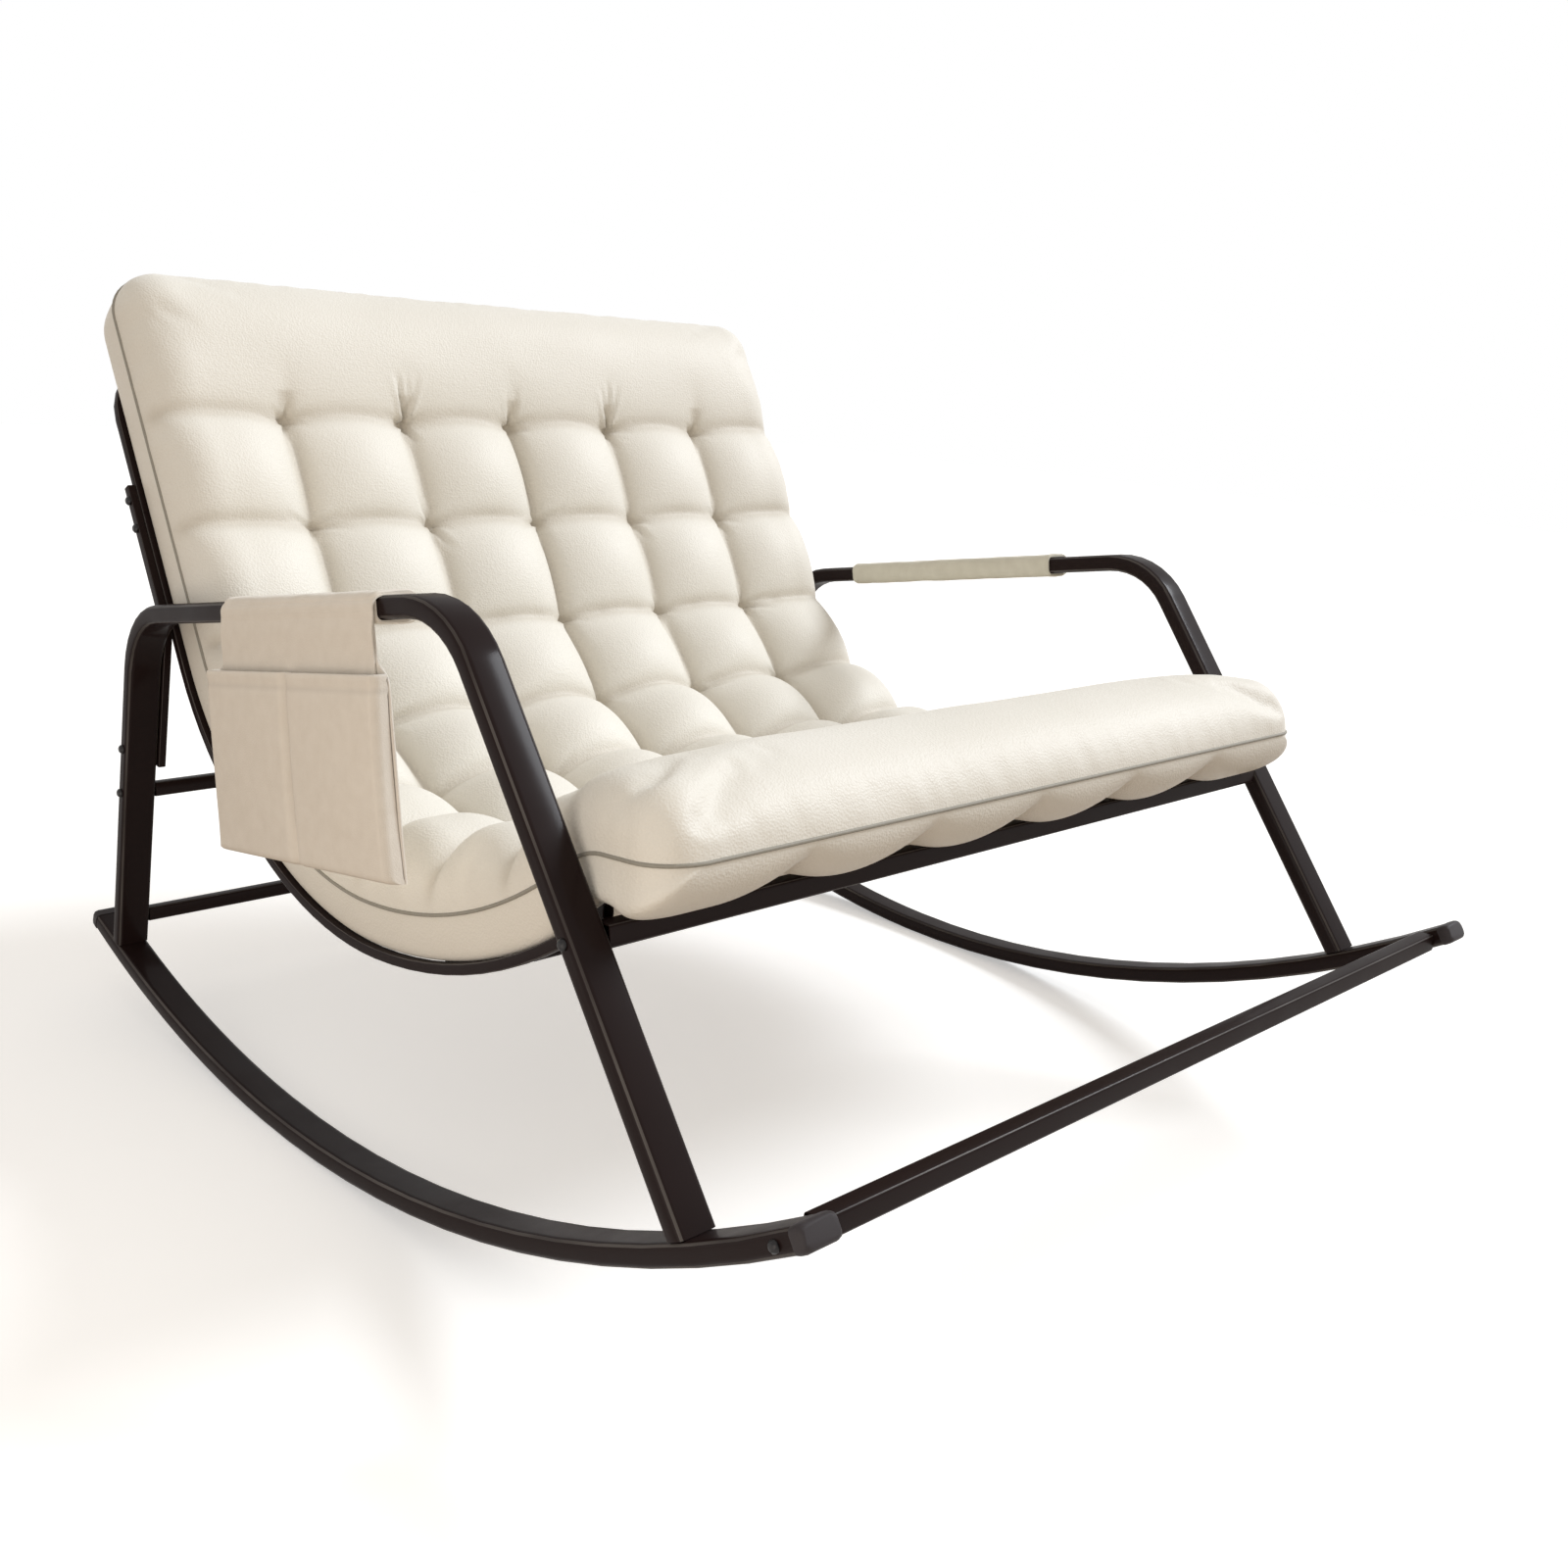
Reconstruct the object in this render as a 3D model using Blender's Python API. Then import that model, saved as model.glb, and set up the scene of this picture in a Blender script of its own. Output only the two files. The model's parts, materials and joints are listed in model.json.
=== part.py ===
"""Two-seat rocking chair: bent steel tube frame, one-piece tufted cushion, arm pocket and arm sleeve.

Metres, +Z up. The seat faces -Y, so the sitter's right side is -X.
Side shapes are drawn as (y, z) points with the rocker's circle touching z = 0 at y = 0. A parent
empty then leans the chair to its balance and sets the middle of its footprint on the origin.
"""
import bpy
import bmesh
import math
from mathutils import Matrix, Vector

# Side frames
SIDE_CLEARANCE = 0.010
TUBE_WIDTH = 0.040
TUBE_DEPTH = 0.022
TUBE_CORNER = 0.006
TUBE_WALL = 0.002
ROCKER_RADIUS = 1.461
ROCKER_FRONT_ANGLE = 27.9
ROCKER_REAR_ANGLE = 25.4
REST_LEAN = 5.6
REST_FLAT = 0.064
FRONT_CORNER = (-0.244, 0.614)
REAR_CORNER = (0.435, 0.565)
FRONT_LEG_SLOPE = 0.622
REAR_LEG_SLOPE = -0.300
ARM_BEND = 0.100

# Bars between the side frames
FOOT_BAR_SIZE = 0.021
FOOT_BAR_BACKSET = 0.0065
SEAT_BAR_SIZE = 0.022
SEAT_BAR_EASE = 0.002
REAR_BAR_SIZE = 0.018
REAR_UPPER_HEIGHT = 0.342
REAR_LOWER_HEIGHT = 0.170
BAR_WALL = 0.0015

# Cradle: seat rails, back hoop, stays and cross tubes
RAIL_SIZE = 0.012
RAIL_INSET = 0.006
HOOP_BEND = 0.080
HOOP_TOP_DROP = 0.075
RAIL_SPLIT = 0.280
STAY_DEPTH = 0.024
STAY_TOP_DEPTH = 0.012
STAY_BEND = 0.050
STAY_FOOT_RISE = 0.033
STAY_OVERLAP = 0.036
CROSS_SIZE = 0.012

# Cushion, measured along its side seam from the top of the back to the front lip
CUSHION_WIDTH = 1.040
BACK_TILT = 24.5
BACK_RUN = 0.480
SEAT_LOW = (-0.010, 0.292)
DIP_RADIUS = 0.400
RISE_RADIUS = 0.620
RISE_ANGLE = 34.0
LIP_RADIUS = 0.080
LIP_RUN = 0.085
CUSHION_CROWN = 0.070
SEAT_SWELL = 0.030
CUSHION_UNDER = 0.048
BACK_UNDER = 0.060
LIP_UNDER = 0.058
CUSHION_EDGE = 0.050
UNDER_EDGE = 0.020
CUSHION_CORNER = 0.040
TUFT_COLUMNS = 5
TUFT_ROWS = 8
FIRST_TUFT = 0.196
TUFT_PITCH = 0.1425
TUFT_FLOOR = 0.020
CREASE_SHARE = 0.66
UNDER_CREASE = 0.35

# Arm pocket on the right arm, sleeve on the left arm
CLOTH = 0.003
CLOTH_EASE = 0.0006
POCKET_MIDDLE = 0.016
SADDLE_LENGTH = 0.312
POUCH_LENGTH = 0.350
POUCH_HEIGHT = 0.195
POUCH_LAP = 0.012
POUCH_DROP = 0.057
POUCH_DEPTH = 0.022
SLEEVE_LENGTH = 0.382
SLEEVE_MIDDLE = 0.104

# Fasteners and plastic caps
BOLT_SHANK = 0.006
BOLT_HEAD = 0.011
BOLT_HEAD_HEIGHT = 0.004
STAY_BOLT_RISE = 0.024
BOLT_REACH = 0.020
HOLE_PAST = 0.002
CAP_LENGTH = 0.014
CAP_LIP = 0.0006
CAP_SPIGOT = 0.009

# Small clearance between pieces that touch, and how finely round shapes are divided
GAP = 0.0003
CORNER_STEPS = 2
BEND_STEPS = 7
ROUND_SIDES = 12
ROCKER_STEPS = 13
SEARCH_STEP = 0.002

X_AXIS = Vector((1.0, 0.0, 0.0))
BLACK_STEEL = ((0.018, 0.016, 0.016), 0.38, 0.6)
GREY_PLASTIC = ((0.075, 0.070, 0.072), 0.55, 0.0)
ZINC_STEEL = ((0.030, 0.028, 0.028), 0.35, 0.8)
IVORY_LEATHER = ((0.80, 0.76, 0.68), 0.55, 0.0)
BEIGE_CLOTH = ((0.62, 0.55, 0.45), 0.80, 0.0)

for old in list(bpy.data.objects):
    bpy.data.objects.remove(old, do_unlink=True)

chair = bpy.data.objects.new("chair", None)
bpy.context.scene.collection.objects.link(chair)


def add_piece(name, bm, finish, origin=(0.0, 0.0, 0.0)):
    """Turn a bmesh into a named object under the chair, with its own finish."""
    bmesh.ops.recalc_face_normals(bm, faces=bm.faces[:])
    mesh = bpy.data.meshes.new(name)
    bm.to_mesh(mesh)
    bm.free()
    mesh.transform(Matrix.Translation(-Vector(origin)))
    mesh.shade_smooth()
    mesh.set_sharp_from_angle(angle=math.radians(35))
    piece = bpy.data.objects.new(name, mesh)
    piece.location = origin
    piece.parent = chair
    bpy.context.scene.collection.objects.link(piece)
    colour, roughness, metallic = finish
    material = bpy.data.materials.new(name + "_finish")
    material.use_nodes = True
    shader = material.node_tree.nodes["Principled BSDF"]
    shader.inputs["Base Color"].default_value = (*colour, 1.0)
    shader.inputs["Roughness"].default_value = roughness
    shader.inputs["Metallic"].default_value = metallic
    mesh.materials.append(material)
    return piece


# Sections and sweeps
def rounded_section(width, depth, corner, steps):
    """Corner points of a rounded rectangle, grouped corner by corner."""
    corners = []
    for quarter, (side_u, side_v) in enumerate(((1, 1), (-1, 1), (-1, -1), (1, -1))):
        centre_u = side_u * (width / 2 - corner)
        centre_v = side_v * (depth / 2 - corner)
        group = []
        for step in range(steps + 1):
            angle = math.radians(90 * (quarter + step / steps))
            group.append((centre_u + corner * math.cos(angle), centre_v + corner * math.sin(angle)))
        corners.append(group)
    return corners


def place_ring(bm, frame, points):
    """Add one ring of section points at a frame of (point, across, up)."""
    point, across, up = frame
    return [bm.verts.new(point + across * u + up * v) for u, v in points]


def skin_rings(bm, rings):
    """Join rings of equal count with side faces."""
    for first, second in zip(rings, rings[1:]):
        count = len(first)
        for i in range(count):
            j = (i + 1) % count
            bm.faces.new((first[i], first[j], second[j], second[i]))


def close_hollow_end(bm, outer, inner):
    """Face the end of a hollow tube between its rounded outside and its four inner corners."""
    group = len(outer) // 4
    for corner in range(4):
        start = corner * group
        for step in range(group - 1):
            bm.faces.new((outer[start + step], outer[start + step + 1], inner[corner]))
        following = (corner + 1) % 4
        bm.faces.new((outer[start + group - 1], outer[following * group], inner[following], inner[corner]))


def sweep_tube(name, frames, size, corner, wall, finish, first_fit=None, last_fit=None):
    """Sweep a hollow rounded section along frames; a fit slides an end's points to what it meets."""
    width, depth = size
    bm = bmesh.new()
    outside = [p for group in rounded_section(width, depth, corner, CORNER_STEPS) for p in group]
    half_u = width / 2 - wall
    half_v = depth / 2 - wall
    inside = [(half_u, half_v), (-half_u, half_v), (-half_u, -half_v), (half_u, -half_v)]
    outer = [place_ring(bm, frame, outside) for frame in frames]
    inner = [place_ring(bm, frame, inside) for frame in frames]
    for fit, index in ((first_fit, 0), (last_fit, -1)):
        if fit:
            for vert in outer[index] + inner[index]:
                vert.co = fit(vert.co)
    skin_rings(bm, outer)
    skin_rings(bm, [ring[::-1] for ring in inner])
    close_hollow_end(bm, outer[0], inner[0])
    close_hollow_end(bm, outer[-1], inner[-1])
    return add_piece(name, bm, finish)


def side_frames(x, path):
    """Frames for a tube that lies in a side plane, from (y, z, tangent y, tangent z) points."""
    frames = []
    for y, z, tangent_y, tangent_z in path:
        up = Vector((0.0, -tangent_z, tangent_y))
        frames.append((Vector((x, y, z)), X_AXIS, up))
    return frames


def rounded_path(points, radius, steps):
    """A polyline with round bends, as (y, z, tangent y, tangent z) points."""
    points = [Vector(p) for p in points]
    path = []
    for before, corner, after in zip(points, points[1:], points[2:]):
        into = (corner - before).normalized()
        out = (after - corner).normalized()
        turn = into.angle_signed(out)
        reach = radius * math.tan(abs(turn) / 2)
        start = corner - into * reach
        side = Vector((-into.y, into.x)) * (-1 if turn > 0 else 1)
        centre = start + side * radius
        for step in range(steps + 1):
            angle = -turn * step / steps
            arm = start - centre
            spun = Vector((arm.x * math.cos(angle) - arm.y * math.sin(angle),
                           arm.x * math.sin(angle) + arm.y * math.cos(angle)))
            tangent = Vector((into.x * math.cos(angle) - into.y * math.sin(angle),
                              into.x * math.sin(angle) + into.y * math.cos(angle)))
            path.append((*(centre + spun), *tangent))
    first = (points[1] - points[0]).normalized()
    last = (points[-1] - points[-2]).normalized()
    return [(*points[0], *first)] + path + [(*points[-1], *last)]


def cross_bar(name, y, z, tilt, size, wall, half_length, finish):
    """A square tube along X between two side pieces."""
    across = Vector((0.0, math.cos(tilt), math.sin(tilt)))
    up = Vector((0.0, -math.sin(tilt), math.cos(tilt)))
    frames = [(Vector((x, y, z)), across, up) for x in (-half_length, half_length)]
    return sweep_tube(name, frames, (size, size), size / 6, wall, finish)


def lathe_x(bm, x_radius, y, z):
    """Turn (x, radius) points about a line along X into a closed round body."""
    rings = []
    angles = [2 * math.pi * i / ROUND_SIDES for i in range(ROUND_SIDES)]
    for x, radius in x_radius:
        places = [(x, y + radius * math.cos(a), z + radius * math.sin(a)) for a in angles]
        rings.append([bm.verts.new(place) for place in places])
    skin_rings(bm, rings)
    bm.faces.new(rings[0])
    bm.faces.new(rings[-1])


def cut_away(piece, name, bm):
    """Cut a bmesh's bodies out of a piece, and keep them as a hidden cutter."""
    bmesh.ops.recalc_face_normals(bm, faces=bm.faces[:])
    mesh = bpy.data.meshes.new(name)
    bm.to_mesh(mesh)
    bm.free()
    cutter = bpy.data.objects.new(name, mesh)
    cutter.parent = chair
    cutter.hide_render = True
    cutter.display_type = "WIRE"
    bpy.context.scene.collection.objects.link(cutter)
    cut = piece.modifiers.new(name, "BOOLEAN")
    cut.operation = "DIFFERENCE"
    cut.object = cutter


def drill(piece, holes):
    """Cut round holes along X, each (x from, x to, y, z), for bolts to pass."""
    bm = bmesh.new()
    for x_from, x_to, y, z in holes:
        lathe_x(bm, ((x_from, BOLT_SHANK / 2 + GAP), (x_to, BOLT_SHANK / 2 + GAP)), y, z)
    cut_away(piece, piece.name + "_holes", bm)


def add_bolt(name, side, face, tip, y, z):
    """A round-headed bolt that enters at x = side * face and ends at x = side * tip."""
    head = BOLT_HEAD / 2
    seat = face + GAP
    crown = seat + BOLT_HEAD_HEIGHT
    bm = bmesh.new()
    profile = ((tip, BOLT_SHANK / 2), (seat, BOLT_SHANK / 2), (seat, head),
               (seat + 0.5 * BOLT_HEAD_HEIGHT, head), (crown, 0.6 * head))
    lathe_x(bm, [(side * x, radius) for x, radius in profile], y, z)
    return add_piece(name, bm, ZINC_STEEL)


# The seam line of the cushion, which the cradle follows too
LEAN_IN = math.radians(90 - BACK_TILT)
RISE = math.radians(RISE_ANGLE)
SEAM_PARTS = ((BACK_RUN, 0.0), (DIP_RADIUS * LEAN_IN, LEAN_IN), (RISE_RADIUS * RISE, RISE),
              (LIP_RADIUS * RISE, -RISE), (LIP_RUN, 0.0))
SEAM_LENGTH = sum(length for length, turn in SEAM_PARTS)
RISE_END = sum(length for length, turn in SEAM_PARTS[:3])
PAST_BAR = SEAM_LENGTH - LIP_RUN + SEAT_BAR_SIZE / 2 + GAP


def seam_at(s):
    """Point and heading on the seam at a length from the top: (y, z, tangent y, tangent z)."""
    y = SEAT_LOW[0] + DIP_RADIUS * math.sin(LEAN_IN) + BACK_RUN * math.sin(math.radians(BACK_TILT))
    z = SEAT_LOW[1] + DIP_RADIUS * (1 - math.cos(LEAN_IN)) + BACK_RUN * math.cos(math.radians(BACK_TILT))
    heading = -LEAN_IN
    for index, (length, turn) in enumerate(SEAM_PARTS):
        part = s if index == len(SEAM_PARTS) - 1 else min(s, length)
        after = heading + turn * part / length
        if turn:
            radius = length / turn
            y -= radius * (math.sin(after) - math.sin(heading))
            z -= radius * (math.cos(after) - math.cos(heading))
        else:
            y -= part * math.cos(heading)
            z += part * math.sin(heading)
        heading = after
        s -= part
        if s <= 0:
            break
    return y, z, -math.cos(heading), math.sin(heading)


def above_seam(s, height):
    """The (y, z) point at a height over the seam, towards the sitter."""
    y, z, tangent_y, tangent_z = seam_at(s)
    return y + height * tangent_z, z - height * tangent_y


def lip_share(s):
    """0 behind the front rail, rising to 1 where the cushion's lip hangs over it."""
    return min(max((s - PAST_BAR) / (SEAM_LENGTH - CUSHION_EDGE - PAST_BAR), 0.0), 1.0)


def seat_share(s):
    """0 on the back and at the front, rising to 1 in the middle of the seat."""
    along = min(max((s - BACK_RUN) / (RISE_END - BACK_RUN), 0.0), 1.0)
    return 4 * along * (1 - along)


def under_depth(s):
    """How far the cushion's bottom cover lies under the seam: deeper on the back and at the lip."""
    half_dip = DIP_RADIUS * LEAN_IN / 2
    back = min(max((BACK_RUN + half_dip - s) / half_dip, 0.0), 1.0)
    back *= back * (3 - 2 * back)
    return CUSHION_UNDER + (BACK_UNDER - CUSHION_UNDER) * back + (LIP_UNDER - CUSHION_UNDER) * lip_share(s)


# Rockers, their caps and the legs' feet
SIDES = (("right", -1), ("left", 1))
HALF_SPACING = CUSHION_WIDTH / 2 + SIDE_CLEARANCE + TUBE_WIDTH / 2
OUTER_FACE = HALF_SPACING + TUBE_WIDTH / 2
INNER_FACE = HALF_SPACING - TUBE_WIDTH / 2
ROCKER_MIDDLE = ROCKER_RADIUS - TUBE_DEPTH / 2
ROCKER_TOP = ROCKER_RADIUS - TUBE_DEPTH


def rocker_point(radius, degrees):
    """A point on the rocker's circle, with its angle counted from straight down towards the rear."""
    angle = math.radians(degrees)
    return radius * math.sin(angle), ROCKER_RADIUS - radius * math.cos(angle)


def rocker_path():
    """The rocker's middle line from front to rear, with one flat where the chair comes to rest."""
    flat = math.degrees(math.asin(REST_FLAT / 2 / ROCKER_RADIUS))
    front = [-ROCKER_FRONT_ANGLE + (REST_LEAN - flat + ROCKER_FRONT_ANGLE) * i / ROCKER_STEPS
             for i in range(ROCKER_STEPS + 1)]
    rear = [REST_LEAN + flat + (ROCKER_REAR_ANGLE - REST_LEAN - flat) * i / ROCKER_STEPS
            for i in range(ROCKER_STEPS + 1)]
    path = []
    for degrees in front + rear:
        angle = math.radians(degrees)
        path.append((*rocker_point(ROCKER_MIDDLE, degrees), math.cos(angle), math.sin(angle)))
    return path


def meet_rocker(direction):
    """Slide a leg's end along its own direction until it stands on the rocker's upper face."""
    along = Vector((0.0, direction[0], direction[1])).normalized()
    widest_step = math.radians(ROCKER_FRONT_ANGLE + ROCKER_REAR_ANGLE) / ROCKER_STEPS
    reach = ROCKER_TOP * math.cos(widest_step / 3) - GAP
    centre = Vector((0.0, 0.0, ROCKER_RADIUS))

    def fit(co):
        flat = Vector((0.0, co.y, co.z)) - centre
        half = flat.dot(along)
        travel = -half + math.sqrt(half * half - flat.length_squared + reach * reach)
        return co + along * travel

    return fit


def add_cap(name, x, y, z, tangent):
    """A plastic cap with a spigot in the tube's end and a rounded head over its rim."""
    along = Vector((0.0, tangent[0], tangent[1]))
    up = Vector((0.0, -tangent[1], tangent[0]))
    spigot = (TUBE_WIDTH - 2 * TUBE_WALL - 2 * GAP, TUBE_DEPTH - 2 * TUBE_WALL - 2 * GAP)
    head = (TUBE_WIDTH + 2 * CAP_LIP, TUBE_DEPTH + 2 * CAP_LIP)
    stations = ((-CAP_SPIGOT, spigot, 0.0), (GAP, spigot, 0.0), (GAP, head, 0.0),
                (0.55 * CAP_LENGTH, head, 0.0), (0.85 * CAP_LENGTH, head, 0.10), (CAP_LENGTH, head, 0.28))
    bm = bmesh.new()
    rings = []
    for offset, (width, depth), draw_in in stations:
        shrink = draw_in * TUBE_DEPTH
        corner = TUBE_DEPTH / 4 if width > TUBE_WIDTH else TUBE_WALL
        groups = rounded_section(width - shrink, depth - shrink, corner, CORNER_STEPS)
        points = [p for group in groups for p in group]
        rings.append(place_ring(bm, (Vector((x, y, z)) + along * offset, X_AXIS, up), points))
    skin_rings(bm, rings)
    bm.faces.new(rings[0])
    bm.faces.new(rings[-1])
    return add_piece(name, bm, GREY_PLASTIC)


ARM_DIRECTION = Vector((FRONT_CORNER[0] - REAR_CORNER[0], FRONT_CORNER[1] - REAR_CORNER[1])).normalized()
ARM_UP = Vector((ARM_DIRECTION.y, -ARM_DIRECTION.x))


def leg_point(corner, slope, height):
    """The point on a leg's middle line at a height."""
    return corner[0] + slope * (height - corner[1]), height


def arm_point(y):
    """The point on the armrest's middle line at a y."""
    return y, FRONT_CORNER[1] + (y - FRONT_CORNER[0]) * ARM_DIRECTION.y / ARM_DIRECTION.x


def seat_bar_point():
    """Middle of the front rail: on the front legs' line, just under the cushion's front."""
    lengths = [SEAM_LENGTH - LIP_RUN - LIP_RADIUS * RISE * i / 12 for i in range(-12, 25)]
    under = [above_seam(s, -under_depth(s)) for s in lengths]
    z = under[0][1]
    for attempt in range(6):
        y = leg_point(FRONT_CORNER, FRONT_LEG_SLOPE, z)[0]
        near = [point[1] for point in under if abs(point[0] - y) < 0.7 * SEAT_BAR_SIZE]
        z = min(near or [under[0][1]]) - SEAT_BAR_EASE - SEAT_BAR_SIZE / 2
    return leg_point(FRONT_CORNER, FRONT_LEG_SLOPE, z)


FOOT_BAR_POINT = rocker_point(ROCKER_MIDDLE, -ROCKER_FRONT_ANGLE)
FOOT_BAR_Y = FOOT_BAR_POINT[0] + FOOT_BAR_SIZE / 2 + FOOT_BAR_BACKSET
FOOT_BAR_Z = ROCKER_RADIUS - math.sqrt(ROCKER_MIDDLE ** 2 - FOOT_BAR_Y ** 2)
SEAT_BAR_POINT = seat_bar_point()
REAR_UPPER_POINT = leg_point(REAR_CORNER, REAR_LEG_SLOPE, REAR_UPPER_HEIGHT)
REAR_LOWER_POINT = leg_point(REAR_CORNER, REAR_LEG_SLOPE, REAR_LOWER_HEIGHT)
STAY_FOOT_POINT = leg_point(REAR_CORNER, REAR_LEG_SLOPE, REAR_UPPER_HEIGHT + STAY_FOOT_RISE)
STAY_BOLT_POINT = leg_point(REAR_CORNER, REAR_LEG_SLOPE, STAY_FOOT_POINT[1] + STAY_BOLT_RISE)
TUBE_SIZE = (TUBE_WIDTH, TUBE_DEPTH)

for label, side in SIDES:
    x = side * HALF_SPACING
    path = rocker_path()
    rocker = sweep_tube(label + "_rocker", side_frames(x, path), TUBE_SIZE, TUBE_CORNER, TUBE_WALL,
                        BLACK_STEEL)
    drill(rocker, [(side * (INNER_FACE - HOLE_PAST), side * (OUTER_FACE + HOLE_PAST),
                    FOOT_BAR_Y, FOOT_BAR_Z)])
    front_y, front_z, tangent_y, tangent_z = path[0]
    add_cap(label + "_front_cap", x, front_y, front_z, (-tangent_y, -tangent_z))
    rear_y, rear_z, tangent_y, tangent_z = path[-1]
    add_cap(label + "_rear_cap", x, rear_y, rear_z, (tangent_y, tangent_z))
    front_foot = leg_point(FRONT_CORNER, FRONT_LEG_SLOPE, REAR_LOWER_HEIGHT)
    path = rounded_path((front_foot, FRONT_CORNER, REAR_CORNER, REAR_LOWER_POINT), ARM_BEND, BEND_STEPS)
    arm = sweep_tube(label + "_arm_frame", side_frames(x, path), TUBE_SIZE, TUBE_CORNER, TUBE_WALL,
                     BLACK_STEEL, first_fit=meet_rocker((-FRONT_LEG_SLOPE, -1.0)),
                     last_fit=meet_rocker((-REAR_LEG_SLOPE, -1.0)))
    drill(arm, [(side * (INNER_FACE - HOLE_PAST), side * (OUTER_FACE + HOLE_PAST), y, z)
                for y, z in (SEAT_BAR_POINT, REAR_UPPER_POINT, STAY_BOLT_POINT)])

BAR_HALF = INNER_FACE - GAP
cross_bar("front_foot_bar", FOOT_BAR_Y, FOOT_BAR_Z, 0.0, FOOT_BAR_SIZE, BAR_WALL, BAR_HALF, BLACK_STEEL)
cross_bar("seat_front_rail", *SEAT_BAR_POINT, 0.0, SEAT_BAR_SIZE, BAR_WALL, BAR_HALF, BLACK_STEEL)
cross_bar("rear_upper_bar", *REAR_UPPER_POINT, 0.0, REAR_BAR_SIZE, BAR_WALL, BAR_HALF, BLACK_STEEL)
cross_bar("rear_lower_bar", *REAR_LOWER_POINT, 0.0, REAR_BAR_SIZE, BAR_WALL, BAR_HALF, BLACK_STEEL)


RAIL_X = CUSHION_WIDTH / 2 - RAIL_INSET
RAIL_CORNER = RAIL_SIZE / 5
RAIL_SECTION = (RAIL_SIZE, RAIL_SIZE)
SEAT_BAR_REAR = SEAT_BAR_POINT[0] + SEAT_BAR_SIZE / 2 + GAP


def under_cushion(s, size):
    """The (y, z) middle of a tube of a size that lies against the cushion's underside."""
    return above_seam(s, -under_depth(s) - GAP - size / 2)


def rail_front():
    """Length along the seam where the rails come up to the front rail."""
    s = RISE_END
    while under_cushion(s, RAIL_SIZE)[0] < SEAT_BAR_REAR + RAIL_SIZE / 2:
        s -= SEARCH_STEP
    return s


def rail_path():
    """Middle line of a seat rail, from its joint with the hoop down and forward to the front rail."""
    back_end = SEAM_PARTS[0][0]
    dip_end = back_end + SEAM_PARTS[1][0]
    front_end = rail_front()
    dip_steps = 20
    rise_steps = 12
    lengths = [RAIL_SPLIT + GAP]
    lengths += [back_end + (dip_end - back_end) * i / dip_steps for i in range(dip_steps)]
    lengths += [dip_end + (front_end - dip_end) * i / rise_steps for i in range(rise_steps + 1)]
    path = []
    for s in lengths:
        path.append((*under_cushion(s, RAIL_SIZE), *seam_at(s)[2:]))
    return path


def meet_seat_bar(co):
    """Slide a rail's front end along its rise to the rear face of the front rail."""
    heading = Vector((0.0, *seam_at(rail_front())[2:]))
    return co + heading * ((SEAT_BAR_REAR - co.y) / heading.y)


def hoop_frames():
    """Frames of the hoop behind the back: up one side, across the top and down the other."""
    top = Vector(under_cushion(HOOP_TOP_DROP, RAIL_SIZE))
    foot = Vector(under_cushion(RAIL_SPLIT - GAP, RAIL_SIZE))
    back_up = Vector((0.0, *(top - foot))).normalized()
    rise = (top - foot).length
    outline = ((-RAIL_X, 0.0), (-RAIL_X, rise), (RAIL_X, rise), (RAIL_X, 0.0))
    out = Vector((0.0, back_up.z, -back_up.y))
    frames = []
    for u, v, tangent_u, tangent_v in rounded_path(outline, HOOP_BEND, BEND_STEPS):
        point = Vector((u, *foot)) + back_up * v
        across = X_AXIS * tangent_v - back_up * tangent_u
        frames.append((point, across, out))
    return frames


STAY_INSIDE = RAIL_X + RAIL_SIZE / 2 + GAP
STAY_WIDTH = INNER_FACE - GAP - STAY_INSIDE
STAY_X = STAY_INSIDE + STAY_WIDTH / 2
SPLIT_BOLTS = [under_cushion(RAIL_SPLIT + STAY_OVERLAP * share, RAIL_SIZE) for share in (-0.5, 0.5)]


def stay_frames(x):
    """Frames of a back stay: along the rear leg, then thinner up the back frame past its joint."""
    top = under_cushion(RAIL_SPLIT - STAY_OVERLAP, RAIL_SIZE)
    low = under_cushion(BACK_RUN, RAIL_SIZE)
    rail_slope = (top[0] - low[0]) / (top[1] - low[1])
    height = (low[0] - rail_slope * low[1] - REAR_CORNER[0] + REAR_LEG_SLOPE * REAR_CORNER[1])
    height /= REAR_LEG_SLOPE - rail_slope
    bend = leg_point(REAR_CORNER, REAR_LEG_SLOPE, height)
    frames = side_frames(x, rounded_path((STAY_FOOT_POINT, bend, top), STAY_BEND, BEND_STEPS))
    taper = []
    for step, (point, across, up) in enumerate(frames):
        share = min(max((step - 1) / BEND_STEPS, 0.0), 1.0)
        taper.append((point, across, up * (1 + (STAY_TOP_DEPTH / STAY_DEPTH - 1) * share)))
    return taper


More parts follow.
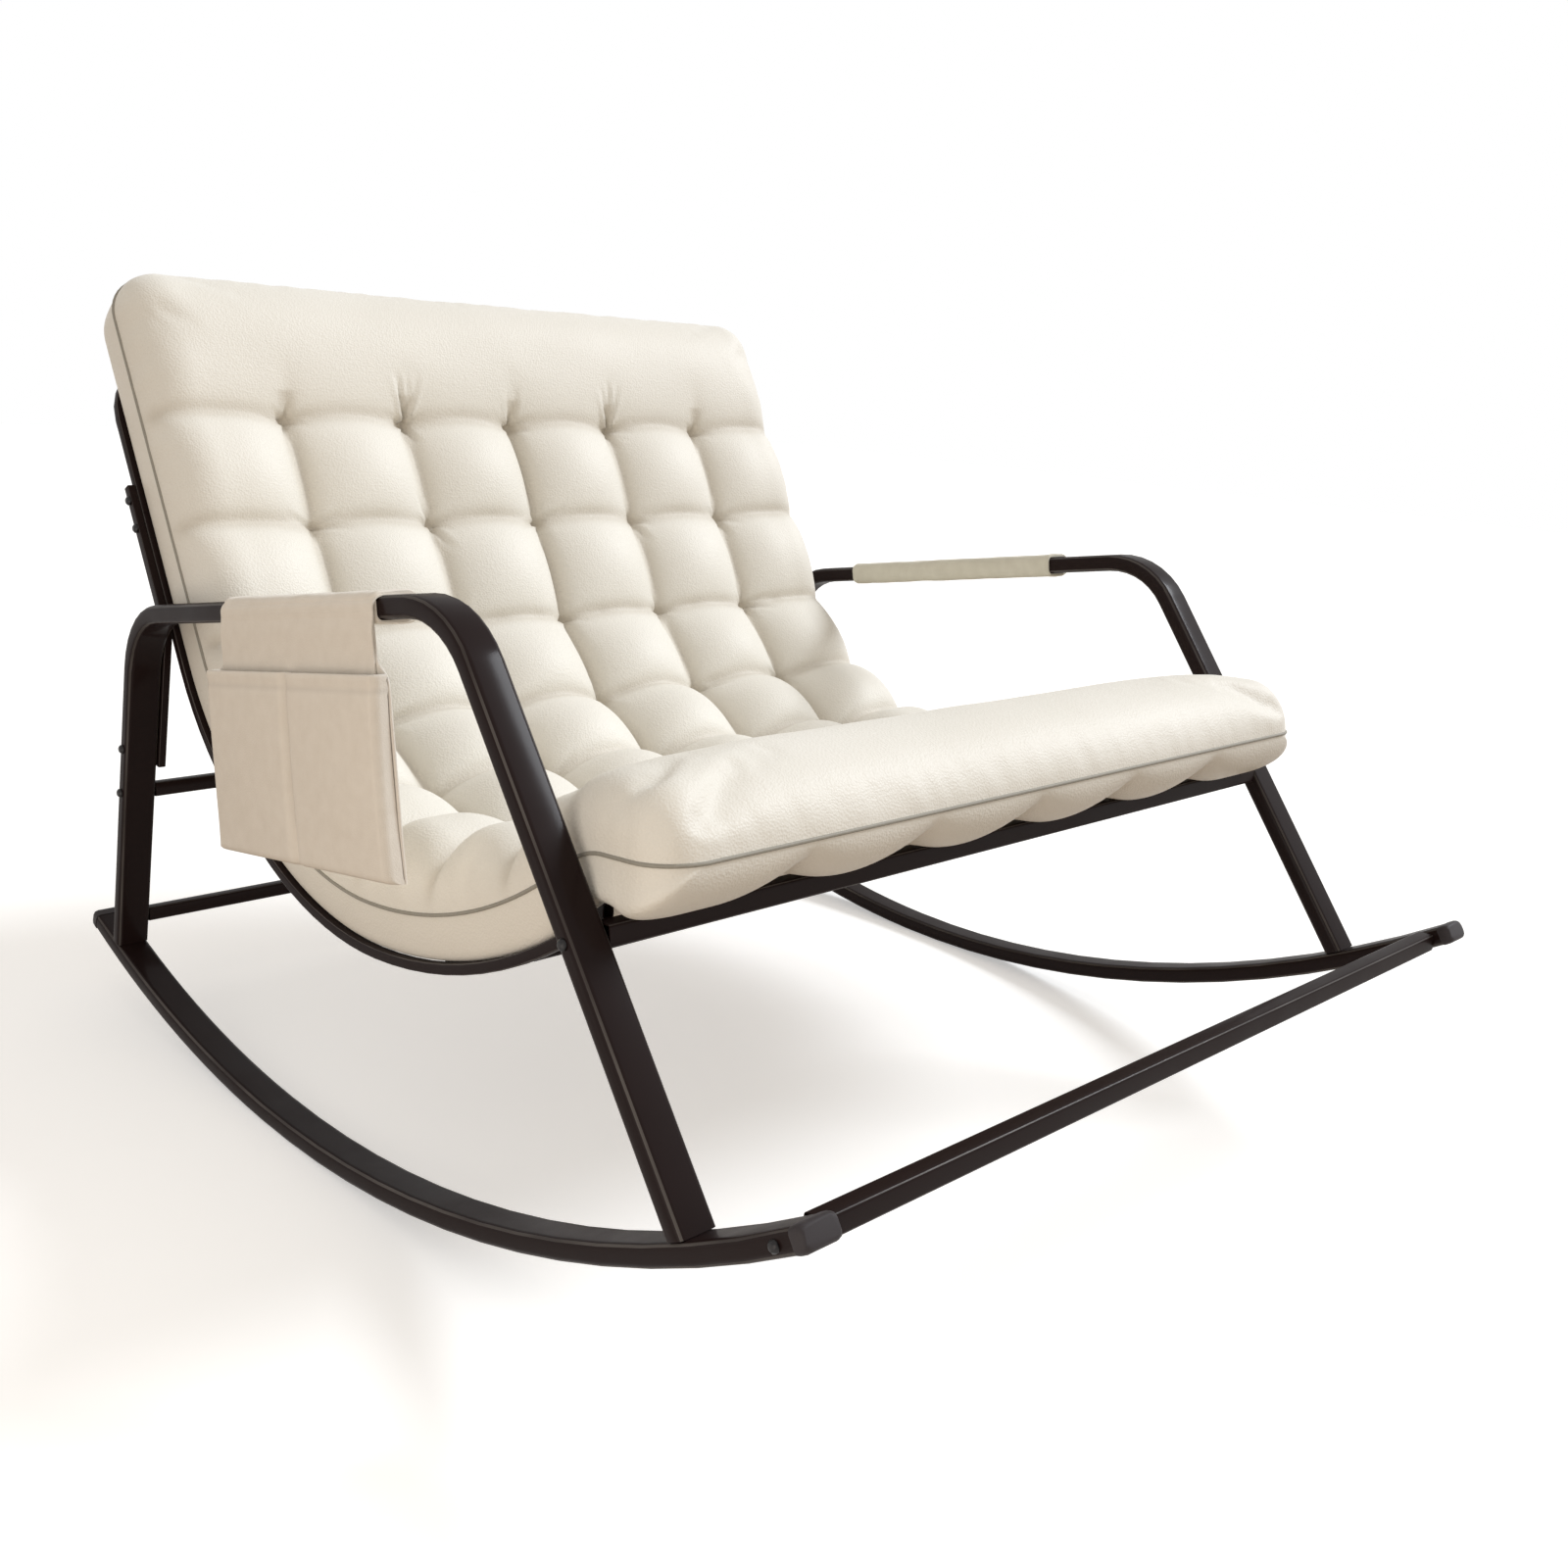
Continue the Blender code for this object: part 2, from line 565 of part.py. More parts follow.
hoop = sweep_tube("back_hoop", hoop_frames(), RAIL_SECTION, RAIL_CORNER, BAR_WALL, BLACK_STEEL)
drill(hoop, [(side * (RAIL_X - HOLE_PAST), side * (RAIL_X + RAIL_SIZE), *SPLIT_BOLTS[0])
             for label, side in SIDES])
BOLT_TIP = RAIL_X
for label, side in SIDES:
    rail = sweep_tube(label + "_seat_rail", side_frames(side * RAIL_X, rail_path()), RAIL_SECTION,
                      RAIL_CORNER, BAR_WALL, BLACK_STEEL, last_fit=meet_seat_bar)
    drill(rail, [(side * (RAIL_X - HOLE_PAST), side * (RAIL_X + RAIL_SIZE), *SPLIT_BOLTS[1])])
    stay = sweep_tube(label + "_back_stay", stay_frames(side * STAY_X), (STAY_WIDTH, STAY_DEPTH),
                      STAY_WIDTH / 6, BAR_WALL, BLACK_STEEL)
    drill(stay, [(side * (STAY_INSIDE - HOLE_PAST), side * (INNER_FACE + HOLE_PAST), y, z)
                 for y, z in (STAY_BOLT_POINT, *SPLIT_BOLTS)])
    stay_face = STAY_INSIDE + STAY_WIDTH
    add_bolt(label + "_stay_upper_bolt", side, stay_face, BOLT_TIP, *SPLIT_BOLTS[0])
    add_bolt(label + "_stay_middle_bolt", side, stay_face, BOLT_TIP, *SPLIT_BOLTS[1])
    add_bolt(label + "_stay_lower_bolt", side, OUTER_FACE, STAY_INSIDE + BAR_WALL / 2, *STAY_BOLT_POINT)
    add_bolt(label + "_rear_bar_bolt", side, OUTER_FACE, INNER_FACE - BOLT_REACH, *REAR_UPPER_POINT)
    add_bolt(label + "_seat_rail_bolt", side, OUTER_FACE, INNER_FACE - BOLT_REACH, *SEAT_BAR_POINT)
    add_bolt(label + "_foot_bar_screw", side, OUTER_FACE, INNER_FACE - BOLT_REACH, FOOT_BAR_Y, FOOT_BAR_Z)

CROSS_HALF = RAIL_X - RAIL_SIZE / 2 - GAP
CROSS_TUBES = (("back_cross_tube_upper", 0), ("back_cross_tube_lower", 2), ("seat_cross_tube_rear", 4),
               ("seat_cross_tube_middle", 6), ("seat_cross_tube_front", 7))
for name, row in CROSS_TUBES:
    s = FIRST_TUFT + TUFT_PITCH * row
    heading = seam_at(s)
    tilt = math.atan2(-heading[3], -heading[2])
    cross_bar(name, *under_cushion(s, CROSS_SIZE), tilt, CROSS_SIZE, BAR_WALL, CROSS_HALF, BLACK_STEEL)


# Cushion
COLUMN_PITCH = CUSHION_WIDTH / (TUFT_COLUMNS + 1)


def pinch(position, first, pitch, count):
    """0 on a tuft line, rising to 1 midway between two lines and staying 1 outside them."""
    along = (position - first) / pitch
    nearest = min(max(round(along), 0), count - 1)
    away = min(abs(along - nearest), 0.5)
    return math.sin(math.pi * away) ** 0.7


def round_off(distance, reach):
    """Quarter-round edge: 0 at the seam, 1 from the reach inwards."""
    if distance >= reach:
        return 1.0
    return math.sqrt(max(0.0, 1 - (1 - distance / reach) ** 2))


def cushion_heights(s, x, half_width):
    """Height of the top cover over the seam and depth of the bottom cover under it."""
    from_side = half_width - abs(x)
    from_end = min(s, SEAM_LENGTH - s)
    edge = round_off(from_side, CUSHION_EDGE) * round_off(from_end, CUSHION_EDGE)
    under_edge = round_off(from_side, UNDER_EDGE) * round_off(from_end, UNDER_EDGE)
    row = pinch(s, FIRST_TUFT, TUFT_PITCH, TUFT_ROWS)
    column = pinch(x, -COLUMN_PITCH * (TUFT_COLUMNS - 1) / 2, COLUMN_PITCH, TUFT_COLUMNS)
    if s < FIRST_TUFT or s > FIRST_TUFT + TUFT_PITCH * (TUFT_ROWS - 1):
        column += (1 - column) * row
    puff = CREASE_SHARE * (row + column) + (1 - 2 * CREASE_SHARE) * row * column
    crown = CUSHION_CROWN + SEAT_SWELL * seat_share(s)
    top = edge * (TUFT_FLOOR + (crown - TUFT_FLOOR) * puff)
    scallop = pinch(x, -COLUMN_PITCH * (TUFT_COLUMNS - 1) / 2, COLUMN_PITCH, TUFT_COLUMNS)
    return top, under_edge * under_depth(s) * (1 - UNDER_CREASE * lip_share(s) * (1 - scallop))


def cushion_stations():
    """Lengths along the seam where the cushion has a row of points."""
    last = FIRST_TUFT + TUFT_PITCH * (TUFT_ROWS - 1)
    ends = (0.0, 0.06, 0.3, 1.0)
    rows = [CUSHION_EDGE * share for share in ends]
    rows += [FIRST_TUFT - 0.5 * TUFT_PITCH]
    rows += [FIRST_TUFT + TUFT_PITCH * i / 3 for i in range(3 * (TUFT_ROWS - 1) + 1)]
    rows += [last + TUFT_PITCH * share for share in (0.25, 0.55)]
    rows += [RISE_END, PAST_BAR]
    rows += [SEAM_LENGTH - CUSHION_EDGE * share for share in reversed(ends)]
    return rows


def cushion_columns(half_width):
    """Places across the cushion, closer together at the sides."""
    side = [half_width - CUSHION_EDGE * share for share in (0.0, 0.08, 0.4, 1.0)]
    inner = [COLUMN_PITCH * i / 2 for i in range(TUFT_COLUMNS, -1, -1)]
    right = [value for value in side if value > inner[0]] + inner
    return [-value for value in right] + right[-2::-1]


def make_cushion():
    """One stuffed body: top and bottom covers that meet in a seam all the way round."""
    bm = bmesh.new()
    half = CUSHION_WIDTH / 2
    covers = ([], [])
    rises = {}
    for s in cushion_stations():
        from_end = min(s, SEAM_LENGTH - s)
        short = max(0.0, CUSHION_CORNER - from_end)
        narrow = half - CUSHION_CORNER + math.sqrt(CUSHION_CORNER ** 2 - short ** 2)
        columns = [x * narrow / half for x in cushion_columns(half)]
        lines = ([], [])
        for x in columns:
            top, under = cushion_heights(s, x, narrow)
            on_seam = abs(x) > narrow - 1e-6 or from_end < 1e-6
            upper = bm.verts.new((x, *above_seam(s, top)))
            rises[upper] = top
            lower = upper if on_seam else bm.verts.new((x, *above_seam(s, -under)))
            lines[0].append(upper)
            lines[1].append(lower)
        covers[0].append(lines[0])
        covers[1].append(lines[1])
    for first, second in zip(covers[0], covers[0][1:]):
        for i in range(len(first) - 1):
            quad = (first[i], first[i + 1], second[i + 1], second[i])
            low = min(range(4), key=lambda corner: rises[quad[corner]])
            fold = [quad[(low + step) % 4] for step in range(4)]
            bm.faces.new(fold[:3])
            bm.faces.new((fold[0], fold[2], fold[3]))
    for first, second in zip(covers[1], covers[1][1:]):
        for i in range(len(first) - 1):
            bm.faces.new((first[i], first[i + 1], second[i + 1], second[i]))
    return add_piece("cushion", bm, IVORY_LEATHER)


make_cushion()


# Arm pocket and arm sleeve
def arm_place(x, along, up):
    """A point given across, forward along the armrest from its y = 0 point, and up from its middle."""
    start = arm_point(0.0)
    y = start[0] + ARM_DIRECTION.x * along + ARM_UP.x * up
    z = start[1] + ARM_DIRECTION.y * along + ARM_UP.y * up
    return Vector((x, y, z))


WRAP = CLOTH_EASE + CLOTH
WRAP_SIZE = (TUBE_WIDTH + 2 * WRAP, TUBE_DEPTH + 2 * WRAP)


def add_wrap(name, side, middle, length):
    """A cloth sleeve round an armrest, free to slide along it, with its origin at its own middle."""
    up = Vector((0.0, ARM_UP.x, ARM_UP.y))
    frames = []
    for end in (-0.5, 0.5):
        frames.append((arm_place(side * HALF_SPACING, -middle + length * end, 0.0), X_AXIS, up))
    piece = sweep_tube(name, frames, WRAP_SIZE, TUBE_CORNER, CLOTH, BEIGE_CLOTH)
    origin = arm_place(side * HALF_SPACING, -middle, 0.0)
    piece.data.transform(Matrix.Translation(-origin))
    piece.location = origin
    return piece


add_wrap("pocket_sleeve", -1, POCKET_MIDDLE, SADDLE_LENGTH)
add_wrap("left_arm_sleeve", 1, SLEEVE_MIDDLE, SLEEVE_LENGTH)


def box_on_arm(bm, x_range, along_range, up_range):
    """A box whose faces follow the armrest's direction."""
    corners = [[[bm.verts.new(arm_place(x, along, up)) for up in up_range] for along in along_range]
               for x in x_range]
    flat = [corners[i][j][k] for i in (0, 1) for j in (0, 1) for k in (0, 1)]
    for loop in ((0, 1, 3, 2), (4, 6, 7, 5), (0, 4, 5, 1), (2, 3, 7, 6), (0, 2, 6, 4), (1, 5, 7, 3)):
        bm.faces.new([flat[i] for i in loop])


def add_pouch():
    """The hanging pouch: a back panel with two open pockets in front of it, on a fold line."""
    face = -(HALF_SPACING + WRAP_SIZE[0] / 2 + GAP)
    fold = POUCH_LAP - WRAP_SIZE[1] / 2
    middle = -POCKET_MIDDLE
    ends = (middle - POUCH_LENGTH / 2, middle + POUCH_LENGTH / 2)
    mouth = fold - POUCH_DROP
    floor = mouth - POUCH_HEIGHT
    front = face - POUCH_DEPTH
    bottom_ease = 2 * CLOTH
    panel = face - CLOTH
    outline = ((face, fold), (face, floor), (front + bottom_ease, floor), (front, floor + bottom_ease),
               (front, mouth), (panel, mouth), (panel, fold))
    bm = bmesh.new()
    rings = [[bm.verts.new(arm_place(x, along, up)) for x, up in outline] for along in ends]
    skin_rings(bm, rings)
    bm.faces.new(rings[0])
    bm.faces.new(rings[1])
    origin = arm_place(face, middle, fold)
    pouch = add_piece("pocket_pouch", bm, BEIGE_CLOTH, origin)
    cuts = bmesh.new()
    for start, end in ((ends[0] + CLOTH, middle - CLOTH / 2), (middle + CLOTH / 2, ends[1] - CLOTH)):
        depth = (front + CLOTH, panel - GAP)
        box_on_arm(cuts, depth, (start, end), (floor + bottom_ease + CLOTH, mouth + CLOTH))
    cut_away(pouch, "pocket_pouch_spaces", cuts)


add_pouch()


# Lean the chair to its balance and set the middle of its footprint on the origin
chair.rotation_euler = (-math.radians(REST_LEAN), 0.0, 0.0)
bpy.context.view_layer.update()
corners = [piece.matrix_world @ vert.co for piece in chair.children if not piece.hide_render
           for vert in piece.data.vertices]
lowest = Vector([min(corner[axis] for corner in corners) for axis in range(3)])
highest = Vector([max(corner[axis] for corner in corners) for axis in range(3)])
chair.location = (-(lowest.x + highest.x) / 2, -(lowest.y + highest.y) / 2, -lowest.z)
bpy.context.view_layer.update()
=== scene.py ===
# %% [markdown]
# # A two-seat rocking chair, dressed for a photograph
# The real chair is a frame of bent steel tube with one long tufted leather cushion and cloth on both arms.
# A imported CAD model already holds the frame, its bolts and its joints. CAD leaves soft things plain, so this
# script adds the cushion's cover, the cloth, the paint, the light and the camera. Sizes are in metres, +Z is
# up and the seat faces -Y.

# %% Load the frame
import bpy
import bmesh
import json
import math
import random
import numpy as np
from mathutils import Matrix, Vector, noise

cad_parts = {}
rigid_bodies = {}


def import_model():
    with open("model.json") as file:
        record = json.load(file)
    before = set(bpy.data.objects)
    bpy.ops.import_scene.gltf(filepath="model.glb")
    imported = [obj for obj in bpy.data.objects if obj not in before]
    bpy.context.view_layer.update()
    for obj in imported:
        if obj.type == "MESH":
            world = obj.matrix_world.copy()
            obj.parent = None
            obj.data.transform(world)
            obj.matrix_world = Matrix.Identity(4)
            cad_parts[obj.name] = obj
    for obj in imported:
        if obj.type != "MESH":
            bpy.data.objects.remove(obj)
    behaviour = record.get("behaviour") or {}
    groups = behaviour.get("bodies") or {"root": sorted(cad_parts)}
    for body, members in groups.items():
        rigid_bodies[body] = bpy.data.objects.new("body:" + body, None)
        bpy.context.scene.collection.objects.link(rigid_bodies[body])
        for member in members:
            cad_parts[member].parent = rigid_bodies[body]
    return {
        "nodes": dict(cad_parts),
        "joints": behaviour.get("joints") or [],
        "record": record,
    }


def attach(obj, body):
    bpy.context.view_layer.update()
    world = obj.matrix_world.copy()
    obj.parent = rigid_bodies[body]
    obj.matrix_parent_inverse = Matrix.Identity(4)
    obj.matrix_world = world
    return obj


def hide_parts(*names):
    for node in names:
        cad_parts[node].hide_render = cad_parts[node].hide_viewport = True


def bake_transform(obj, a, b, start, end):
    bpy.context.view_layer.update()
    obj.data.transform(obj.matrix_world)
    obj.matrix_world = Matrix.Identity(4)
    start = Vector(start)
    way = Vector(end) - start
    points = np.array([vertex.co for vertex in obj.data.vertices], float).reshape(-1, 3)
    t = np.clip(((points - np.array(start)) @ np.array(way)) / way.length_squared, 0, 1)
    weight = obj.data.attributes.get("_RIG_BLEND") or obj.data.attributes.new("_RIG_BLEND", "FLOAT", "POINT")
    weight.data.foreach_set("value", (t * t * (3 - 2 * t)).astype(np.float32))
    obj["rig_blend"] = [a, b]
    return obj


for leftover in list(bpy.data.objects):
    bpy.data.objects.remove(leftover, do_unlink=True)
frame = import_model()
scene = bpy.context.scene
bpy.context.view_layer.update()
nodes = frame["nodes"]
joints = {joint["name"]: joint for joint in frame["joints"]}
print("CAD nodes:", len(nodes), "joints:", sorted(joints))

# %% [markdown]
# ## The chair's own drawing board
# The chair leans back on its curved runners until it balances. Its side view could be drawn in that place,
# but it is easier to draw with the runners' circle touching the ground at the origin, and let one matrix
# carry every point to its real place. The two flats that the record lists as mounts tell where it stands.

# %% From the drawing to the real place
ROCKER_RADIUS = 1.461
REST_LEAN = math.radians(5.6)
REST_FLAT = 0.064
X_AXIS = Vector((1.0, 0.0, 0.0))

flats = [Vector(mount["pos_m"]) for mount in frame["record"]["mounts"]]
middle_x = sum(flat.x for flat in flats) / len(flats)
centre_height = math.sqrt(ROCKER_RADIUS ** 2 - (REST_FLAT / 2) ** 2)
centre = Vector((middle_x, flats[0].y, centre_height))
chair = (Matrix.Translation(centre) @ Matrix.Rotation(-REST_LEAN, 4, "X")
         @ Matrix.Translation((0.0, 0.0, -ROCKER_RADIUS)))
print("drawing origin lands at", [round(value, 4) for value in chair.translation])

# %% [markdown]
# ## Camera
# The photo was taken from the front, past the sitter's right arm. A camera can be placed by eye, but this
# one was measured against the frame's straight edges, so that the render can be laid over the photo.

# %% Camera
CAMERA_PLACE = (-1.2983, -1.4161, 0.7188)
CAMERA_AZIMUTH = math.radians(-44.3488)
CAMERA_ELEVATION = math.radians(10.997)
CAMERA_LENS = 35.614
CAMERA_REACH = 50.0


def add_object(name, data):
    """A new object of the scene that shows a mesh, a lamp or a camera."""
    made = bpy.data.objects.new(name, data)
    scene.collection.objects.link(made)
    return made


camera = add_object("camera", bpy.data.cameras.new("camera"))
camera.data.lens = CAMERA_LENS
camera.data.clip_end = CAMERA_REACH
camera.matrix_world = (chair @ Matrix.Translation(CAMERA_PLACE) @ Matrix.Rotation(CAMERA_AZIMUTH, 4, "Z")
                       @ Matrix.Rotation(math.pi / 2 - CAMERA_ELEVATION, 4, "X"))
scene.camera = camera
print("camera at", [round(value, 3) for value in camera.matrix_world.translation])

# %% [markdown]
# ## Small tools for materials
# Paint, plastic, leather and cloth each have a grain. Images could hold it, but textures made by formula
# need no files and keep their size in metres. Each material starts from one Principled shader, and `bumps`
# chains heights into its normal, which shows grain without changing the mesh.

# %% Material tools
def new_material(name, colour, roughness, metallic=0.0, specular=0.5):
    """A Principled material and its node tree, with the plain values set on the shader itself."""
    material = bpy.data.materials.new(name)
    material.use_nodes = True
    tree = material.node_tree
    shader = tree.nodes["Principled BSDF"]
    feed(tree, shader, {"Base Color": (*colour, 1.0), "Roughness": roughness, "Metallic": metallic,
                        "Specular IOR Level": specular})
    return material, tree, shader


def feed(tree, node, inputs):
    """Give each input of a node a plain value, or link it to another node's output."""
    for socket, value in inputs.items():
        if isinstance(value, bpy.types.NodeSocket):
            tree.links.new(value, node.inputs[socket])
        else:
            node.inputs[socket].default_value = value


def add_node(tree, kind, inputs):
    node = tree.nodes.new("ShaderNode" + kind)
    feed(tree, node, inputs)
    return node


def cloudy(tree, scale, detail):
    """A noise value read in object space, so that its grain keeps its size in metres."""
    place = add_node(tree, "TexCoord", {}).outputs["Object"]
    return add_node(tree, "TexNoise", {"Vector": place, "Scale": scale, "Detail": detail}).outputs["Fac"]


def pebbled(tree, scale, randomness):
    """The distance to the nearest of many scattered points, which looks like pebbles or weave."""
    place = add_node(tree, "TexCoord", {}).outputs["Object"]
    inputs = {"Vector": place, "Scale": scale, "Randomness": randomness}
    return add_node(tree, "TexVoronoi", inputs).outputs["Distance"]


def bumps(tree, shader, heights):
    """Chain (height output, strength, depth in metres) into the shader's normal."""
    chain = {}
    for height, strength, depth in heights:
        node = add_node(tree, "Bump", {"Height": height, "Strength": strength, "Distance": depth, **chain})
        chain = {"Normal": node.outputs["Normal"]}
    feed(tree, shader, chain)


def remap(tree, value, low, high, start=0.0, end=1.0):
    """Spread a texture's values over a new range."""
    inputs = {"Value": value, "From Min": start, "From Max": end, "To Min": low, "To Max": high}
    return add_node(tree, "MapRange", inputs).outputs["Result"]


def combine(tree, operation, *values):
    """A math node on values that are each a number or another node's output."""
    node = add_node(tree, "Math", dict(enumerate(values)))
    node.operation = operation
    return node.outputs["Value"]


def blend_colours(tree, factor, first, second):
    """Mix two colours, each a plain colour or another node's output."""
    node = tree.nodes.new("ShaderNodeMix")
    node.data_type = "RGBA"
    feed(tree, node, {"Factor": factor})
    sockets = [i for i, socket in enumerate(node.inputs) if socket.type == "RGBA"]
    for socket, colour in zip(sockets, (first, second)):
        feed(tree, node, {socket: (*colour, 1.0) if isinstance(colour, tuple) else colour})
    return [socket for socket in node.outputs if socket.type == "RGBA"][0]


def painted_crease_shade(tree):
    """The mesh's own `crease` value for painted shade: 0 in the open and 1 in a fold or stitched groove."""
    node = add_node(tree, "Attribute", {})
    node.attribute_name = "crease"
    return node.outputs["Fac"]


print("material tools:", [tool.__name__ for tool in (cloudy, pebbled, bumps, blend_colours)])

# %% [markdown]
# ## Steel, plastic and fasteners
# The tubes are powder-coated nearly black, with a faint orange-peel surface. Their rounded corners carry a
# painted highlight: thin pale lines in the base colour that stand in for glints of light. Those lines could
# be painted by hand. Here the shader finds the corners itself, because a corner's normal lies midway
# between those of two faces. The level bars lie turned against the side frames, so they have a coat of
# their own.

# %% Frame materials
CORNER_MIDDLE = 0.5
CORNER_SPREAD = 0.22
COAT_DARK = (0.0130, 0.0074, 0.0070)
COAT = (0.0150, 0.0086, 0.0081)
COAT_LIGHT = (0.0170, 0.0098, 0.0092)
COAT_PAINTED_HIGHLIGHT = (0.115, 0.105, 0.100)
CAP_TONES = ((0.028, 0.023, 0.025), (0.033, 0.027, 0.029), (0.038, 0.032, 0.034))
BOLT = (0.030, 0.028, 0.028)


def corner_highlight_share(tree, side):
    """Painted highlight: up to 1 along the middle of a tube's rounded corners, in patches, and 0 on its flat
    faces.
    """
    normal = add_node(tree, "NewGeometry", {}).outputs["Normal"]
    across = add_node(tree, "VectorMath", {0: normal, 1: side})
    across.operation = "DOT_PRODUCT"
    square = combine(tree, "MULTIPLY", across.outputs["Value"], across.outputs["Value"])
    middle = combine(tree, "COMPARE", square, CORNER_MIDDLE, CORNER_SPREAD)
    patchy = remap(tree, cloudy(tree, 9.0, 3.0), 0.35, 0.85, 0.35, 0.65)
    return combine(tree, "MULTIPLY", middle, patchy)


def paint_material(name, side):
    """Powder coat with painted corner highlights, for tubes that have one pair of faces square to the
    direction `side`.
    """
    material, tree, shader = new_material(name, COAT, 0.45, specular=0.03)
    patches = cloudy(tree, 14.0, 4.0)
    tone = blend_colours(tree, patches, COAT_DARK, COAT_LIGHT)
    # Painted highlight: the rounded corners are mixed towards a pale colour that stands in for glints of
    # light.
    painted_highlight = blend_colours(tree, corner_highlight_share(tree, side), tone, COAT_PAINTED_HIGHLIGHT)
    feed(tree, shader, {"Base Color": painted_highlight, "Roughness": remap(tree, patches, 0.38, 0.52, 0.3, 0.7),
                        "Coat Weight": 0.10, "Coat Roughness": 0.14})
    bumps(tree, shader, [(cloudy(tree, 700.0, 2.0), 0.16, 0.0002)])
    return material


def grained_material(name, tones, roughness, specular, scale, bump):
    """A material whose colour and surface follow one fine noise; the tones are dark, middle and light."""
    material, tree, shader = new_material(name, tones[1], roughness, specular=specular)
    grain = cloudy(tree, scale, 3.0)
    feed(tree, shader, {"Base Color": blend_colours(tree, grain, tones[0], tones[2])})
    bumps(tree, shader, [(grain, 0.3, bump)])
    return material


def bolt_material():
    material, tree, shader = new_material("blackened_bolt", BOLT, 0.34, metallic=0.85)
    wear = cloudy(tree, 260.0, 5.0)
    feed(tree, shader, {"Roughness": remap(tree, wear, 0.26, 0.5)})
    bumps(tree, shader, [(wear, 0.12, 0.0002)])
    return material


paint = paint_material("black_powder_coat", X_AXIS)
bar_face = max(nodes["front_foot_bar"].data.polygons, key=lambda face: face.area)
bar_paint = paint_material("black_bar_coat", bar_face.normal)
plastic = grained_material("grey_cap_plastic", CAP_TONES, 0.62, 0.25, 1400.0, 0.0002)
bolt_steel = bolt_material()
print("finishes:", [finish.name for finish in (paint, bar_paint, plastic, bolt_steel)])

# %% [markdown]
# ## Dress the frame
# Each piece gets its finish by its name. CAD leaves small facets at bends and corners. Finer meshes would
# hide them, but it is lighter to weld the points, split only the real edges and weight the normals towards
# the large faces.

# %% Frame finish
SOFT_NODES = ("cushion", "pocket_sleeve", "pocket_pouch", "left_arm_sleeve")
WELD_DISTANCE = 0.00001
EDGE_ANGLE = math.radians(52)


def finish_for(name):
    if "bolt" in name or "screw" in name:
        return bolt_steel
    if "cap" in name:
        return plastic
    return bar_paint if "bar" in name or name == "seat_front_rail" else paint


def soften(node):
    """Shade a CAD node smoothly over its small facets and keep its real edges."""
    mesh = node.data
    if "custom_normal" in mesh.attributes:
        mesh.attributes.remove(mesh.attributes["custom_normal"])
    mesh.shade_smooth()
    node.modifiers.new("weld", "WELD").merge_threshold = WELD_DISTANCE
    node.modifiers.new("edges", "EDGE_SPLIT").split_angle = EDGE_ANGLE
    node.modifiers.new("flat_sides", "WEIGHTED_NORMAL").keep_sharp = True


for name, node in nodes.items():
    if name not in SOFT_NODES:
        node.data.materials.clear()
        node.data.materials.append(finish_for(name))
        soften(node)
print("painted", len(nodes) - len(SOFT_NODES), "frame nodes")

# %% [markdown]
# ## The line the cushion follows
# Seat and back are one cushion with a seam round its side: down the back, round the dip of the seat, up the
# front and over the lip. A hand-drawn curve could give that line, but straight parts and arcs with real
# lengths are easier to measure and change. `above_seam` steps off the line towards the sitter.

# %% Seam line
CUSHION_WIDTH = 1.040
BACK_TILT = math.radians(24.5)
BACK_RUN = 0.480
SEAT_LOW = (-0.010, 0.292)
DIP_RADIUS = 0.400
RISE_RADIUS = 0.620
RISE = math.radians(34.0)
LIP_RADIUS = 0.080
LIP_RUN = 0.085
LEAN_IN = math.pi / 2 - BACK_TILT
SEAM_PARTS = ((BACK_RUN, 0.0), (DIP_RADIUS * LEAN_IN, LEAN_IN), (RISE_RADIUS * RISE, RISE),
              (LIP_RADIUS * RISE, -RISE), (LIP_RUN, 0.0))
SEAM_LENGTH = sum(length for length, turn in SEAM_PARTS)
RISE_END = sum(length for length, turn in SEAM_PARTS[:3])


def seam_at(s):
    """Drawing point and heading at a length from the top of the back: (y, z, tangent y, tangent z)."""
    y = SEAT_LOW[0] + DIP_RADIUS * math.sin(LEAN_IN) + BACK_RUN * math.sin(BACK_TILT)
    z = SEAT_LOW[1] + DIP_RADIUS * (1 - math.cos(LEAN_IN)) + BACK_RUN * math.cos(BACK_TILT)
    heading = -LEAN_IN
    for length, turn in SEAM_PARTS:
        part = min(s, length)
        after = heading + turn * part / length
        if turn:
            y -= length / turn * (math.sin(after) - math.sin(heading))
            z -= length / turn * (math.cos(after) - math.cos(heading))
        else:
            y -= part * math.cos(heading)
            z += part * math.sin(heading)
        heading = after
        s -= part
        if s <= 0:
            break
    return y, z, -math.cos(heading), math.sin(heading)


def above_seam(s, x, height):
    """The real place of a point at a height over the seam, towards the sitter."""
    y, z, tangent_y, tangent_z = seam_at(s)
    return chair @ Vector((x, y + height * tangent_z, z - height * tangent_y))


print("seam length", round(SEAM_LENGTH, 4))

# %% [markdown]
# ## Where the tufts are
# The cover is sewn down at a grid of points, the tufts, and creases join them. They could be placed one by
# one, but a pitch each way is enough, because the real ones are evenly spaced. Rows arch a little between
# tufts, where stuffing hangs over them. In the photo the cushion has crept towards the sitter's right arm,
# so on back and seat its left edge stops short of the drawn width.

# %% Tuft grid
TUFT_COLUMNS = 5
TUFT_ROWS = 8
FIRST_TUFT = 0.196
TUFT_PITCH = 0.1425
LAST_TUFT = FIRST_TUFT + TUFT_PITCH * (TUFT_ROWS - 1)
CREEP = 0.025
CREEP_END = 0.05
COLUMN_PITCH = (CUSHION_WIDTH - CREEP) / (TUFT_COLUMNS + 1)
FIRST_COLUMN = -CREEP / 2 - COLUMN_PITCH * (TUFT_COLUMNS - 1) / 2
ROW_ARCH = 0.003
ROLL_GAP = 0.02
ROLL_BLEND = 0.06


